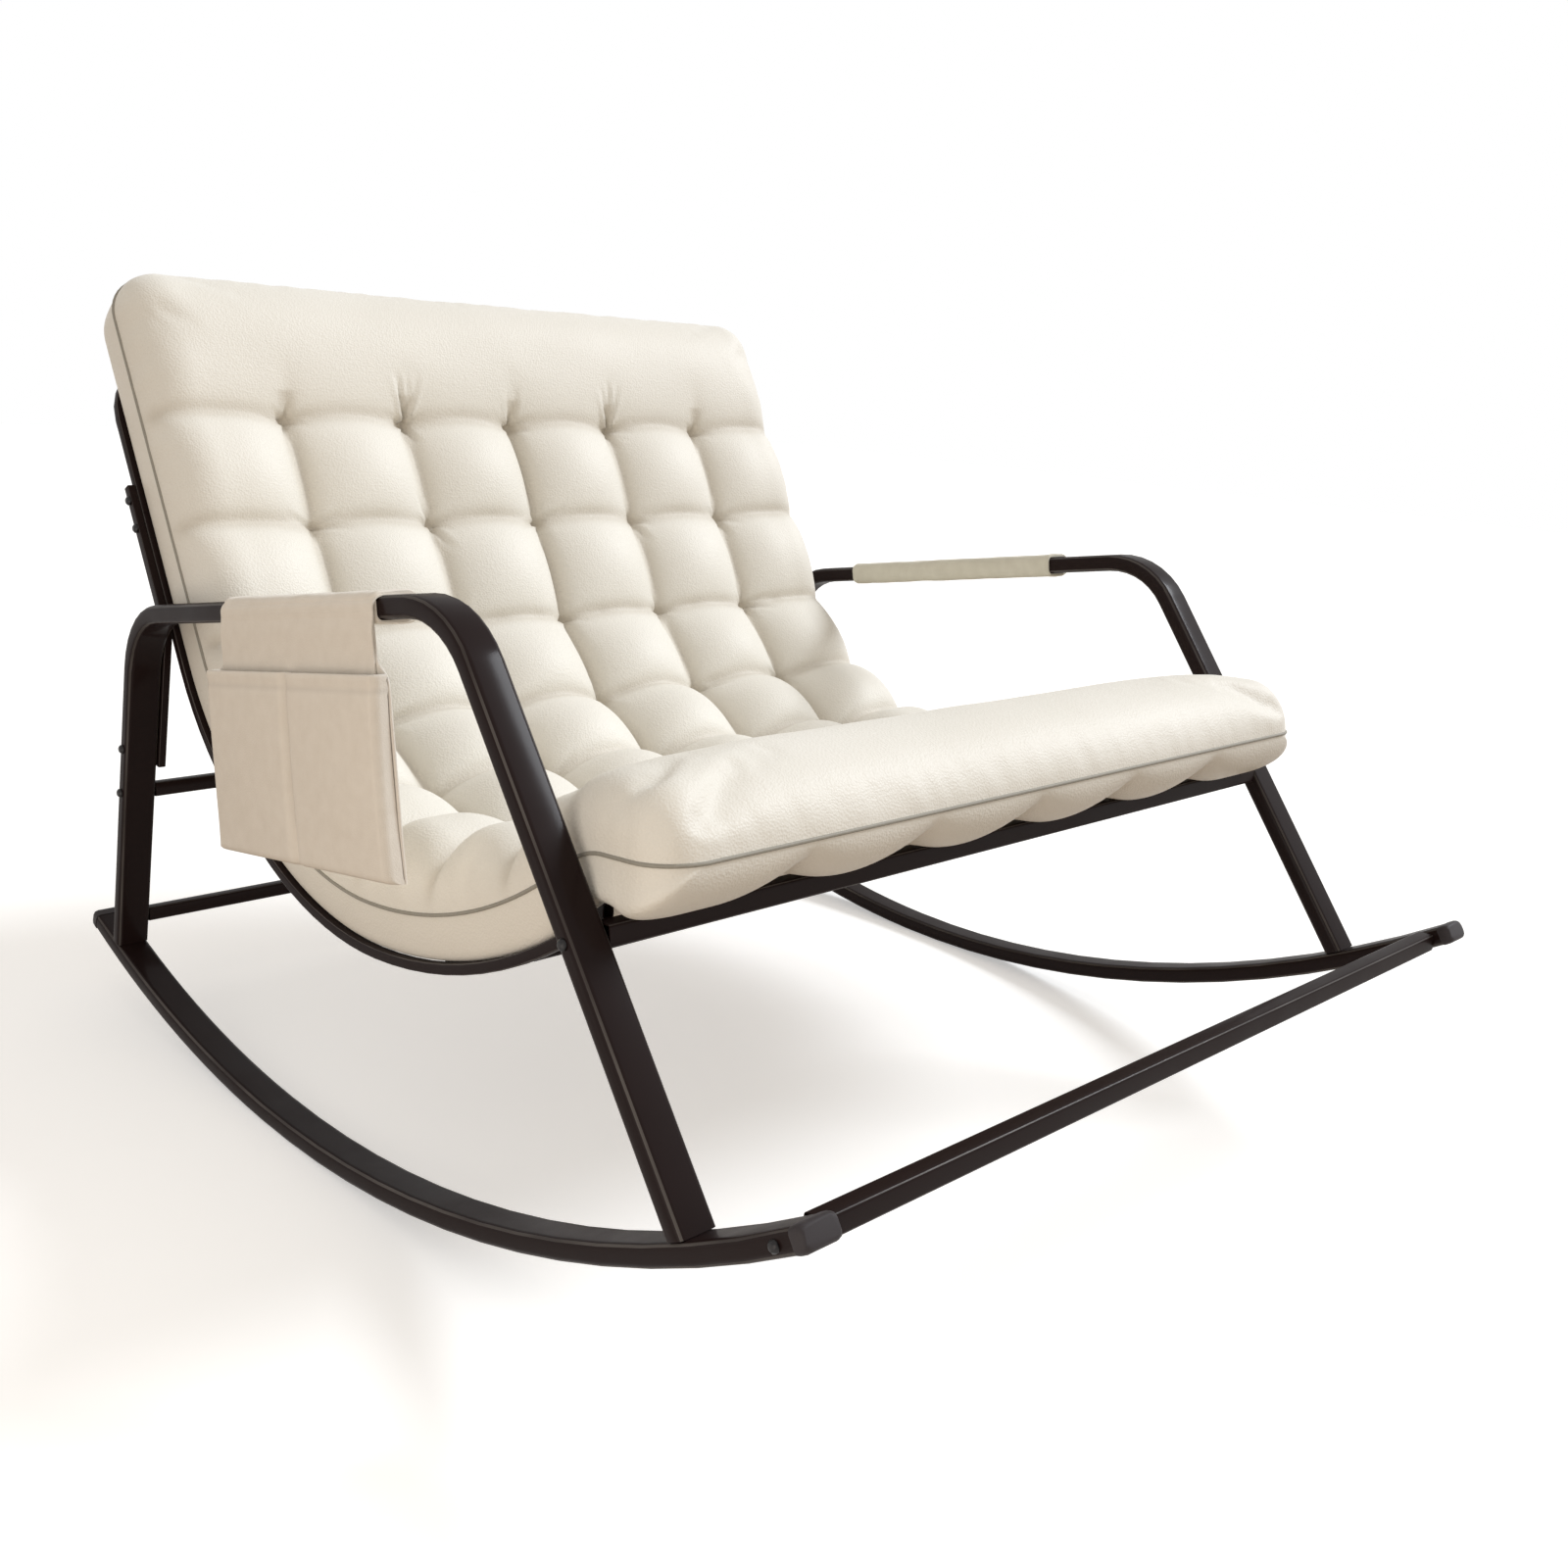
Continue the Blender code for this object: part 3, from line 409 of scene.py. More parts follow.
def ramp(value):
    """0 below 0, 1 above 1 and smooth between."""
    value = min(max(value, 0.0), 1.0)
    return value * value * (3 - 2 * value)


def roll_share(s):
    """0 as far as the last row of tufts, rising to 1 on the front roll."""
    return ramp((s - LAST_TUFT - ROLL_GAP) / ROLL_BLEND)


def left_edge(s):
    """The cushion's edge on the sitter's left: short on back and seat, full at the front roll."""
    return CUSHION_WIDTH / 2 - CREEP * (1 - ramp((s - LAST_TUFT + CREEP_END) / (RISE_END - LAST_TUFT)))


def nearest_line(position, first, pitch, count):
    """Distance to the nearest of a row of crease lines."""
    index = min(max(round((position - first) / pitch), 0), count - 1)
    return abs(position - first - index * pitch)


def column_distance(x):
    return nearest_line(x, FIRST_COLUMN, COLUMN_PITCH, TUFT_COLUMNS)


def crease_distances(s, x):
    """Distances to the nearest row crease, column crease and tuft."""
    column = column_distance(x)
    arch = ROW_ARCH * math.sin(math.pi * min(column / COLUMN_PITCH, 0.5)) ** 2
    row = nearest_line(s + arch, FIRST_TUFT, TUFT_PITCH, TUFT_ROWS)
    tuft = math.hypot(nearest_line(s, FIRST_TUFT, TUFT_PITCH, TUFT_ROWS), column)
    return row, column, tuft


print("tufts:", TUFT_ROWS, "rows of", TUFT_COLUMNS, "at", round(COLUMN_PITCH, 4), "by", TUFT_PITCH)

# %% [markdown]
# ## How high the cover stands
# Between creases the stuffed cover rises in pillows, most in the seat, and along the front it swells into a
# plain roll with lobes below. Sculpting could shape this, but a height formula keeps the pillows alike and
# easy to change.

# %% Cushion heights
CROWN = 0.057
SEAT_SWELL = 0.030
ROLL_SWELL = 0.010
TUFT_FLOOR = 0.008
ROW_DIP = 0.52
COLUMN_RISE = 0.14
ROW_SHARPNESS = 0.52
COLUMN_SHARPNESS = 0.46
UNDER = 0.048
BACK_UNDER = 0.060
LIP_UNDER = 0.058
UNDER_CREASE = 0.54
LOBE_SHARPNESS = 0.55
EDGE = 0.055
LIP_SETBACK = 0.012
LIP_START = SEAM_LENGTH - LIP_RUN + LIP_SETBACK


def seat_share(s):
    """0 on the back and at the front, rising to 1 in the middle of the seat."""
    along = min(max((s - BACK_RUN) / (RISE_END - BACK_RUN), 0.0), 1.0)
    return 4 * along * (1 - along)


def pillow(distance, pitch, sharpness):
    """0 on a crease and 1 midway between two; a small sharpness makes a narrow crease."""
    return math.sin(math.pi * min(distance / pitch, 0.5)) ** sharpness


def top_height(s, x):
    """Height of the top cover over the seam, before the edges round it off."""
    row, column = crease_distances(s, x)[:2]
    rise_row = pillow(row, TUFT_PITCH, ROW_SHARPNESS)
    rise_column = pillow(column, COLUMN_PITCH, COLUMN_SHARPNESS)
    if s < FIRST_TUFT or s > LAST_TUFT:
        rise_column += (1 - rise_column) * rise_row
    puff = rise_column * (1 - ROW_DIP * (1 - rise_row)) + (1 - rise_column) * COLUMN_RISE * rise_row
    crown = CROWN + SEAT_SWELL * seat_share(s) + ROLL_SWELL * roll_share(s)
    return TUFT_FLOOR + (crown - TUFT_FLOOR) * puff


def under_depth(s, x):
    """Depth of the bottom cover under the seam: thicker on the back, with lobes along the front lip."""
    lip = min(max((s - LIP_START) / (SEAM_LENGTH - EDGE - LIP_START), 0.0), 1.0)
    lobe = pillow(column_distance(x), COLUMN_PITCH, LOBE_SHARPNESS)
    half_dip = DIP_RADIUS * LEAN_IN / 2
    back = ramp((BACK_RUN + half_dip - s) / half_dip)
    depth = UNDER + (BACK_UNDER - UNDER) * back + (LIP_UNDER - UNDER) * lip
    return depth * (1 - UNDER_CREASE * lip * (1 - lobe))


print("cover height at a tuft", round(top_height(FIRST_TUFT, FIRST_COLUMN), 4), "and on a pillow",
      round(top_height(FIRST_TUFT + TUFT_PITCH / 2, FIRST_COLUMN + COLUMN_PITCH / 2), 4))

# %% [markdown]
# ## How the edges turn down
# At its edges the leather curves round the stuffing to the seam. A bevel could round a box, but in a formula
# each side can have its own reach: the front roll has rounder ends than the rest, and the lobes under them
# swell out past the seam.

# %% Cushion edges
ROLL_EDGE = 0.046
UNDER_EDGE = 0.009
UNDER_END = 0.020
ROLL_UNDER_EDGE = 0.045
ROLL_UNDER_END = 0.070
ROLL_BULGE = 0.024


def round_off(distance, reach):
    """Quarter-round edge: 0 at the seam, 1 from the reach inwards."""
    if distance >= reach:
        return 1.0
    return math.sqrt(max(0.0, 1 - (1 - distance / reach) ** 2))


def round_corner(from_end, from_side, reach):
    """The same quarter-round where an end meets a side, so that each corner is part of a ball."""
    end = max(0.0, 1 - from_end / reach)
    side = max(0.0, 1 - from_side / reach)
    return math.sqrt(max(0.0, 1 - end ** 2 - side ** 2))


def toward_roll(s, usual, at_roll):
    """One value on back and seat and another on the front roll."""
    return usual + (at_roll - usual) * roll_share(s)


def side_swell(s, x, from_seam):
    """How far the underside swells out past the seam at each end of the front roll."""
    inward = min(from_seam / ROLL_UNDER_EDGE, 1.0)
    return math.copysign(ROLL_BULGE * roll_share(s) * math.sin(math.pi * inward), x)


print("edge reach", EDGE, "and on the roll", toward_roll(SEAM_LENGTH, EDGE, ROLL_EDGE))

# %% [markdown]
# ## One closed cover
# The cover is two leather sheets sewn along the seam. A subdivided box would do for a plain cushion, but
# working out each grid point keeps the points even where the cover turns down to the seam. Each point keeps
# its place along and across as attributes, which later steps read.

# %% Cushion mesh
GRID_STEP = 0.008
EDGE_STEPS = 11


def spread(length):
    """Positions from one edge to the other, each with its distance from the nearer edge."""
    near = [EDGE * (1 - math.cos(math.pi / 2 * i / EDGE_STEPS)) for i in range(EDGE_STEPS)]
    count = round((length - 2 * EDGE) / GRID_STEP)
    flat = [EDGE + (length - 2 * EDGE) * i / count for i in range(count + 1)]
    places = near + flat + [length - place for place in reversed(near)]
    return [(place, max(0.0, min(place, length - place))) for place in places]


def cushion_grid():
    """Rows of grid points: s, x and the distances from the end, from the seam and from the straight side."""
    drawn_half = CUSHION_WIDTH / 2
    rows = []
    for s, from_end in spread(SEAM_LENGTH):
        middle = (left_edge(s) - drawn_half) / 2
        half = (left_edge(s) + drawn_half) / 2
        corner = toward_roll(s, EDGE, ROLL_EDGE)
        narrow = half - corner + math.sqrt(corner ** 2 - max(0.0, corner - from_end) ** 2)
        row = []
        for place, from_seam in spread(CUSHION_WIDTH):
            aside = (place / drawn_half - 1) * narrow
            row.append((s, middle + aside, from_end, from_seam, half - abs(aside)))
        rows.append(row)
    return rows


def add_faces(bm, rows, around=False, flip=False):
    """Join neighbouring rows of points with faces; `around` also closes each row into a ring."""
    for first, second in zip(rows, rows[1:]):
        for i in range(len(first) if around else len(first) - 1):
            j = (i + 1) % len(first)
            face = (first[i], first[j], second[j], second[i])
            bm.faces.new(face[::-1] if flip else face)


def to_object(bm, name):
    """Turn a finished bmesh into a smooth object of the scene, with its faces outwards."""
    bmesh.ops.recalc_face_normals(bm, faces=bm.faces[:])
    mesh = bpy.data.meshes.new(name)
    bm.to_mesh(mesh)
    bm.free()
    mesh.shade_smooth()
    return add_object(name, mesh)


def cushion_cover(rows):
    """Top and bottom covers that share their seam points."""
    bm = bmesh.new()
    along, across, upper = (bm.verts.layers.float.new(name) for name in ("along", "across", "upper"))
    tops, lows = [], []
    for row in rows:
        tops.append([])
        lows.append([])
        for s, x, from_end, from_seam, from_side in row:
            rise = round_corner(from_end, from_side, toward_roll(s, EDGE, ROLL_EDGE))
            drop = (round_off(from_end, toward_roll(s, UNDER_END, ROLL_UNDER_END))
                    * round_off(from_seam, toward_roll(s, UNDER_EDGE, ROLL_UNDER_EDGE)))
            top = low = bm.verts.new(above_seam(s, x, rise * top_height(s, x)))
            if drop > 0:
                out = x + side_swell(s, x, from_seam)
                low = bm.verts.new(above_seam(s, out, -drop * under_depth(s, x)))
            for vert in (top, low):
                vert[along], vert[across] = s, x
            top[upper] = rise
            tops[-1].append(top)
            lows[-1].append(low)
    add_faces(bm, tops)
    add_faces(bm, lows, flip=True)
    return to_object(bm, "cushion_cover")


grid = cushion_grid()
cover = cushion_cover(grid)
print("cushion grid", len(grid), "by", len(grid[0]), "points:", len(cover.data.vertices))

# %% [markdown]
# ## Let the stuffing push
# Real stuffing presses the leather out between the stitches. The formula alone looks too regular, so in a
# short cloth simulation pressure fills the cover, while the tufts, the seam and the underside stay put and
# the creases give a little.

# %% Cloth simulation
MOST_PUFF = 0.025
LEAST_TRAVEL = 1e-9
PRESSURE = 4.0
LAST_FRAME = 20
HELD_BELOW = 0.3
HOLD_WIDTH = 0.009
ROW_HOLD = 0.70
COLUMN_HOLD = 0.85


def read_attribute(mesh, name):
    values = np.zeros(len(mesh.vertices), np.float32)
    mesh.attributes[name].data.foreach_get("value", values)
    return values


def read_points(mesh):
    points = np.zeros(len(mesh.vertices) * 3, np.float32)
    mesh.vertices.foreach_get("co", points)
    return points.reshape(-1, 3)


def write_points(mesh, points):
    mesh.vertices.foreach_set("co", np.ascontiguousarray(points, np.float32).ravel())
    mesh.update()


def bell(distance, width):
    """1 at no distance, falling smoothly to nearly 0 at twice the width."""
    return math.exp(-(distance / width) ** 2)


def hold(s, x, turn):
    """How firmly the cloth is held at a point: 1 is fixed, 0 is free."""
    row, column, tuft = crease_distances(s, x)
    if turn < HELD_BELOW or tuft < HOLD_WIDTH:
        return 1.0
    inside = FIRST_TUFT - ROLL_GAP < s < LAST_TUFT + ROLL_GAP
    column_hold = COLUMN_HOLD * bell(column, HOLD_WIDTH) if inside else 0.0
    return max(ROW_HOLD * bell(row, HOLD_WIDTH), column_hold)


def inflate(piece):
    """Fill a cover under pressure, keep the result in its mesh and return how far each point moved."""
    mesh = piece.data
    rest = read_points(mesh)
    group = piece.vertex_groups.new(name="held")
    places = zip(*(read_attribute(mesh, name).tolist() for name in ("along", "across", "upper")))
    for index, (s, x, turn) in enumerate(places):
        group.add([index], hold(s, x, turn), "REPLACE")
    cloth = piece.modifiers.new("stuffing", "CLOTH")
    settings = cloth.settings
    settings.quality = 5
    settings.mass = 0.3
    settings.tension_stiffness = settings.compression_stiffness = 15.0
    settings.shear_stiffness = 5.0
    settings.bending_stiffness = 0.5
    settings.vertex_group_mass = "held"
    settings.use_pressure = True
    settings.uniform_pressure_force = PRESSURE
    settings.effector_weights.gravity = 0.0
    cloth.collision_settings.use_collision = False
    cloth.point_cache.frame_start = 1
    cloth.point_cache.frame_end = LAST_FRAME
    for number in range(1, LAST_FRAME + 1):
        scene.frame_set(number)
    puffed = read_points(piece.evaluated_get(bpy.context.evaluated_depsgraph_get()).data)
    move = puffed - rest
    travel = np.linalg.norm(move, axis=1, keepdims=True)
    move *= np.minimum(1.0, MOST_PUFF / np.maximum(travel, LEAST_TRAVEL))
    piece.modifiers.remove(cloth)
    piece.vertex_groups.remove(group)
    write_points(mesh, rest + move)
    scene.frame_set(1)
    return travel


travel = inflate(cover)
print("stuffing moved the cover by up to", round(float(travel.max()) * 1000, 1), "mm, mean",
      round(float(travel.mean()) * 1000, 2), "mm")

# %% [markdown]
# ## Pleats and puckers
# Leather gathers in short pleats where it is pulled into a tuft, and puckers beside a seam. A finer
# simulation would find them slowly. Here one subdivision gives points every 4 mm, and small grooves are
# pressed in round each tuft.

# %% Pleats
PLEAT_SEED = 7
PLEAT_DEPTH = 0.0052
DEPTH_SHARES = (0.6, 1.1)
PLEAT_WIDTH = 0.0038
WIDTH_AT_TUFT = 0.7
WIDENING = 0.6
RIDGE_HEIGHT = 0.45
RIDGE_PLACE = 1.7
PLEAT_START = 0.006
PLEAT_REACH = 0.085
PLEATS_LEFT_OUT = 0.2
PLEAT_SWAY = 6
PLEAT_LENGTHS = (0.024, 0.050)
PLEAT_ANGLES = (14, 76, 106, 166, 196, 258, 286, 344)
FAN_LENGTHS = (0.052, 0.066)
FAN_ANGLES = (70, 84, 98)
FAN_DEEPER = 1.9
DIMPLE_DEPTH = 0.004
DIMPLE_WIDTH = 0.008
RIPPLE = 0.0012
RIPPLE_NOISE = (9.0, 0.5)
PUCKER = 0.0016
PUCKER_NOISE = (45.0, 3.1)
ROW_SHADE = 0.60
COLUMN_SHADE = 0.70
SHADE_WIDTH = 0.011
TUFT_SHADE_WIDTH = 0.017
SHADE_PAST_TUFTS = 0.03


def subdivide(piece):
    """Replace a piece's mesh by one with four faces for each."""
    divide = piece.modifiers.new("finer", "SUBSURF")
    divide.levels = divide.render_levels = 1
    finer = bpy.data.meshes.new_from_object(piece.evaluated_get(bpy.context.evaluated_depsgraph_get()))
    piece.modifiers.remove(divide)
    piece.data = finer


def pleat_shape(from_s, from_x, angle, length):
    """One groove that runs out from a tuft, with a small ridge along each side."""
    ahead = from_x * math.cos(angle) - from_s * math.sin(angle)
    aside = from_x * math.sin(angle) + from_s * math.cos(angle)
    fade = np.clip(1 - ahead / length, 0, 1) * (ahead > 0) * np.clip(ahead / PLEAT_START, 0, 1)
    width = PLEAT_WIDTH * (WIDTH_AT_TUFT + WIDENING * np.clip(ahead / length, 0, 1))
    ridges = RIDGE_HEIGHT * np.exp(-((np.abs(aside) / width - RIDGE_PLACE) ** 2))
    return fade * (np.exp(-(aside / width) ** 2) - ridges)


def pleat_field(s, x, chance):
    """How far pleats press the cover in, for arrays of places along and across."""
    depth = np.zeros_like(s)
    for row in range(TUFT_ROWS):
        for column in range(TUFT_COLUMNS):
            from_s = s - (FIRST_TUFT + TUFT_PITCH * row)
            from_x = x - (FIRST_COLUMN + COLUMN_PITCH * column)
            reach = np.hypot(from_s, from_x)
            near = reach < PLEAT_REACH
            fan = FAN_ANGLES if row == 0 and column % 2 else ()
            for base in PLEAT_ANGLES + fan:
                if base not in fan and chance.random() < PLEATS_LEFT_OUT:
                    continue
                angle = math.radians(base + chance.uniform(-PLEAT_SWAY, PLEAT_SWAY))
                length = chance.uniform(*(FAN_LENGTHS if base in fan else PLEAT_LENGTHS))
                deep = (FAN_DEEPER if base in fan else 1.0) * PLEAT_DEPTH * chance.uniform(*DEPTH_SHARES)
                depth[near] += deep * pleat_shape(from_s[near], from_x[near], angle, length)
            depth[near] += DIMPLE_DEPTH * np.exp(-(reach[near] / DIMPLE_WIDTH) ** 2)
    return depth


def painted_shade_value(s, x, turn):
    """How much painted shade a place gets: 1 in a tuft, less along a crease and 0 in the open."""
    row, column, tuft = crease_distances(s, x)
    inside = FIRST_TUFT - SHADE_PAST_TUFTS < s < LAST_TUFT + SHADE_PAST_TUFTS
    column_shade = COLUMN_SHADE * bell(column, SHADE_WIDTH) if inside else 0.0
    lines = max(ROW_SHADE * bell(row, SHADE_WIDTH), column_shade)
    return max(lines, bell(tuft, TUFT_SHADE_WIDTH)) * min(1.0, turn * 2)


def noise_over(s, x, scale, layer):
    """A smooth noise value for each place; another layer of the noise has other hills."""
    return np.array([noise.noise(Vector((a * scale, b * scale, layer))) for a, b in zip(s, x)])


def set_painted_shade(piece, values):
    layer = piece.data.attributes.new("crease", "FLOAT", "POINT")
    layer.data.foreach_set("value", np.array(values, np.float32))


def add_pleats(piece):
    """Move a cover's points in at the pleats and a little in and out elsewhere."""
    mesh = piece.data
    s, x, upper = (read_attribute(mesh, name) for name in ("along", "across", "upper"))
    normals = np.zeros(len(mesh.vertices) * 3, np.float32)
    mesh.vertices.foreach_get("normal", normals)
    depth = pleat_field(s, x, random.Random(PLEAT_SEED)) * np.clip(upper * 2 - 0.4, 0, 1)
    ripple = RIPPLE * noise_over(s, x, *RIPPLE_NOISE)
    pucker = PUCKER * noise_over(s, x, *PUCKER_NOISE)
    beside_seam = np.clip(upper * 4, 0, 1) * np.clip((0.9 - upper) * 2, 0, 1)
    lift = ripple * np.clip(upper, 0, 1) + pucker * beside_seam - depth
    write_points(mesh, read_points(mesh) + normals.reshape(-1, 3) * lift[:, None])
    # Painted shade for the leather's colour, strongest in the tufts and along the creases.
    set_painted_shade(piece, [painted_shade_value(*place) for place in zip(s.tolist(), x.tolist(), upper.tolist())])


subdivide(cover)
add_pleats(cover)
print("cushion cover:", len(cover.data.polygons), "faces")

# %% [markdown]
# ## Leather
# The cushion is ivory leather with a fine pebble grain. An image would show one hide only, but a Voronoi
# pattern softened with noise never repeats. The creases get a painted shade, darker and warmer, where
# light doesn't reach, and the tone drifts slowly over the hide.

# %% Leather
IVORY = (0.80, 0.77, 0.70)
IVORY_DARK = (0.815, 0.792, 0.725)
IVORY_LIGHT = (0.850, 0.828, 0.765)
IVORY_PAINTED_SHADE = (0.50, 0.44, 0.35)


def leather_material():
    material, tree, shader = new_material("ivory_leather", IVORY, 0.52, specular=0.38)
    drift = remap(tree, cloudy(tree, 5.0, 3.0), 0.0, 1.0, 0.35, 0.65)
    base = blend_colours(tree, drift, IVORY_DARK, IVORY_LIGHT)
    # Painted shade: the mesh's crease value darkens and warms the tufts and creases.
    shaded_creases = blend_colours(tree, remap(tree, painted_crease_shade(tree), 0.0, 0.74), base, IVORY_PAINTED_SHADE)
    pebble = pebbled(tree, 380.0, 0.9)
    feed(tree, shader, {"Base Color": shaded_creases, "Roughness": remap(tree, pebble, 0.46, 0.60)})
    bumps(tree, shader, [(cloudy(tree, 120.0, 5.0), 0.14, 0.0012), (pebble, 0.34, 0.0012),
                         (cloudy(tree, 900.0, 2.0), 0.15, 0.0003)])
    return material


cover.data.materials.append(leather_material())
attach(cover, "chair")
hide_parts("cushion")

# %% [markdown]
# ## The welt in the seam
# A thin cord of darker leather is sewn between the covers, right round the cushion. Its dark tone is partly
# the cord's own colour and partly painted shade of the groove it lies in. A curve with a bevel would give
# such a tube, but rings built on the seam's own points lie exactly where the covers meet.

# %% Seam welt
WELT_RADIUS = 0.0020
WELT_SIDES = 8
WELT_STEP = 0.003
WELT_TONES = ((0.25, 0.235, 0.20), (0.30, 0.285, 0.245), (0.36, 0.34, 0.29))


def seam_loop(rows):
    """The seam's points once round: down one side, along the lip, up the other and along the top."""
    loop = [row[0] for row in rows] + rows[-1][1:-1] + [row[-1] for row in reversed(rows)]
    loop += rows[0][-2:0:-1]
    points = []
    for point in loop:
        s, x = point[:2]
        place = above_seam(s, x, 0.0)
        if not points or (place - points[-1]).length > WELT_STEP:
            points.append(place)
    return points


def closed_tube(name, points, radius, sides):
    """A round tube through a closed loop of points, with its rings kept from twisting."""
    bm = bmesh.new()
    rings = []
    normal = None
    angles = [2 * math.pi * k / sides for k in range(sides)]
    for i, point in enumerate(points):
        tangent = (points[(i + 1) % len(points)] - points[i - 1]).normalized()
        if normal is None:
            normal = tangent.orthogonal().normalized()
        normal = (normal - tangent * normal.dot(tangent)).normalized()
        side = tangent.cross(normal)
        rings.append([bm.verts.new(point + (normal * math.cos(angle) + side * math.sin(angle)) * radius)
                      for angle in angles])
    add_faces(bm, rings + rings[:1], around=True)
    return to_object(bm, name)


welt = closed_tube("cushion_welt", seam_loop(grid), WELT_RADIUS, WELT_SIDES)
# The welt's dark tones are partly the cord's own colour and partly painted shade of the seam's groove.
welt.data.materials.append(grained_material("welt_leather", WELT_TONES, 0.6, 0.5, 350.0, 0.0006))
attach(welt, "chair")
print("welt points:", len(welt.data.vertices) // WELT_SIDES)

# %% [markdown]
# ## Cloth for the arms
# Both arms wear woven cloth, beige on the pocket's side and cream on the other. Threads could be modelled
# one by one, but from a step away the weave is only a fine bump with a soft mottle and a little sheen.

# %% Cloth materials
POCKET_LIGHT = (0.800, 0.755, 0.685)
POCKET_DARK = (0.760, 0.712, 0.640)
SLEEVE_LIGHT = (0.695, 0.675, 0.580)
SLEEVE_DARK = (0.635, 0.612, 0.520)
SEWN_PAINTED_SHADE = 0.55


def cloth_material(name, light, dark):
    material, tree, shader = new_material(name, light, 0.82, specular=0.25)
    mottle = remap(tree, cloudy(tree, 60.0, 6.0), 0.0, 1.0, 0.3, 0.7)
    tone = blend_colours(tree, mottle, dark, light)
    # Painted shade, partly dark stitching: the crease value darkens the cloth along stitched grooves.
    sewn_and_shaded = blend_colours(tree, painted_crease_shade(tree), tone, tuple(SEWN_PAINTED_SHADE * value for value in dark))
    feed(tree, shader, {"Base Color": sewn_and_shaded, "Sheen Weight": 0.15})
    bumps(tree, shader, [(cloudy(tree, 35.0, 4.0), 0.2, 0.003), (pebbled(tree, 620.0, 0.7), 0.3, 0.0006)])
    return material


pocket_cloth = cloth_material("beige_pocket_cloth", POCKET_LIGHT, POCKET_DARK)
sleeve_cloth = cloth_material("cream_sleeve_cloth", SLEEVE_LIGHT, SLEEVE_DARK)
print("cloths:", pocket_cloth.name, sleeve_cloth.name)

# %% [markdown]
# ## Sleeves round the arms
# Each armrest has a padded sleeve with a rolled hem at both ends. A cloth simulation could shrink one round
# the tube, but on so tight a fit a swept ring with small wrinkles looks the same. The slide joints of the
# record tell where each sleeve sits and which way the arm points.

# %% Arm sleeves
TUBE_WIDTH = 0.040
TUBE_DEPTH = 0.022
SLEEVE_STANDOFF = 0.0036
SLEEVE_HALF_WIDTH = TUBE_WIDTH / 2 + SLEEVE_STANDOFF
SLEEVE_HALF_DEPTH = TUBE_DEPTH / 2 + SLEEVE_STANDOFF
SLEEVE_CORNER = 0.0095
LINING_GAP = 0.0008
LINING_CORNER = 0.006
RING_STEPS = 6
RING_SIDE_STEPS = 8
SLEEVE_STEPS = 96
HEM_RISE = 0.0007
HEM_MIDDLE = 0.005
HEM_SPREAD = 0.004
HEM_STITCH = 0.013
HEM_STITCH_SPREAD = 0.0025
END_TURN = 0.0012
WRINKLE = 0.0011
WRINKLES_ALONG = 26
WRINKLES_ROUND = 60
SLEEVE_CROWN = 0.0010
SHARP_ANGLE = math.radians(60)
SADDLE_LENGTH = 0.312
SLEEVE_LENGTH = 0.382
forward = Vector(joints["pocket_slide"]["axis"]).normalized()
upward = forward.cross(X_AXIS)


def rounded_ring(half_width, half_depth, corner, steps, side_steps):
    """Evenly stepped points round a rounded rectangle."""
    points = []
    for quarter, (side_u, side_v) in enumerate(((1, 1), (-1, 1), (-1, -1), (1, -1))):
        for step in range(steps + 1):
            angle = math.pi / 2 * (quarter + step / steps)
            points.append((side_u * (half_width - corner) + corner * math.cos(angle),
                           side_v * (half_depth - corner) + corner * math.sin(angle)))
    filled = []
    for i, (u, v) in enumerate(points):
        next_u, next_v = points[(i + 1) % len(points)]
        filled.append((u, v))
        if i % (steps + 1) == steps:
            filled += [(u + (next_u - u) * k / side_steps, v + (next_v - v) * k / side_steps)
                       for k in range(1, side_steps)]
    return filled


def ring_piece(name, rings, material, caps):
    """Skin closed rings of places into one piece, with its ends capped or joined to each other."""
    bm = bmesh.new()
    made = [[bm.verts.new(point) for point in ring] for ring in rings]
    add_faces(bm, made if caps else made + made[:1], around=True)
    if caps:
        bm.faces.new(made[0])
        bm.faces.new(made[-1])
    piece = to_object(bm, name)
    piece.data.set_sharp_from_angle(angle=SHARP_ANGLE)
    piece.data.materials.append(material)
    return piece


def sleeve_ring(start, place, length, outline, seed):
    """One ring of a sleeve, swollen at the hem, drawn in at the very end and wrinkled all over."""
    from_end = length / 2 - abs(place)
    stitch = bell(from_end - HEM_STITCH, HEM_STITCH_SPREAD)
    hem = HEM_RISE * (bell(from_end - HEM_MIDDLE, HEM_SPREAD) - stitch)
    close = END_TURN * bell(from_end, END_TURN)
    ring = []
    for u, v in outline:
        spot = Vector((place * WRINKLES_ALONG, u * WRINKLES_ROUND, v * WRINKLES_ROUND + seed))
        fold = WRINKLE * noise.noise(spot)
        crown = SLEEVE_CROWN * (1 - (u / SLEEVE_HALF_WIDTH) ** 2)
        swell = (hem - close + fold + crown) / SLEEVE_HALF_DEPTH
        ring.append(start + forward * place + X_AXIS * u * (1 + swell / 2) + upward * v * (1 + swell))
    return ring


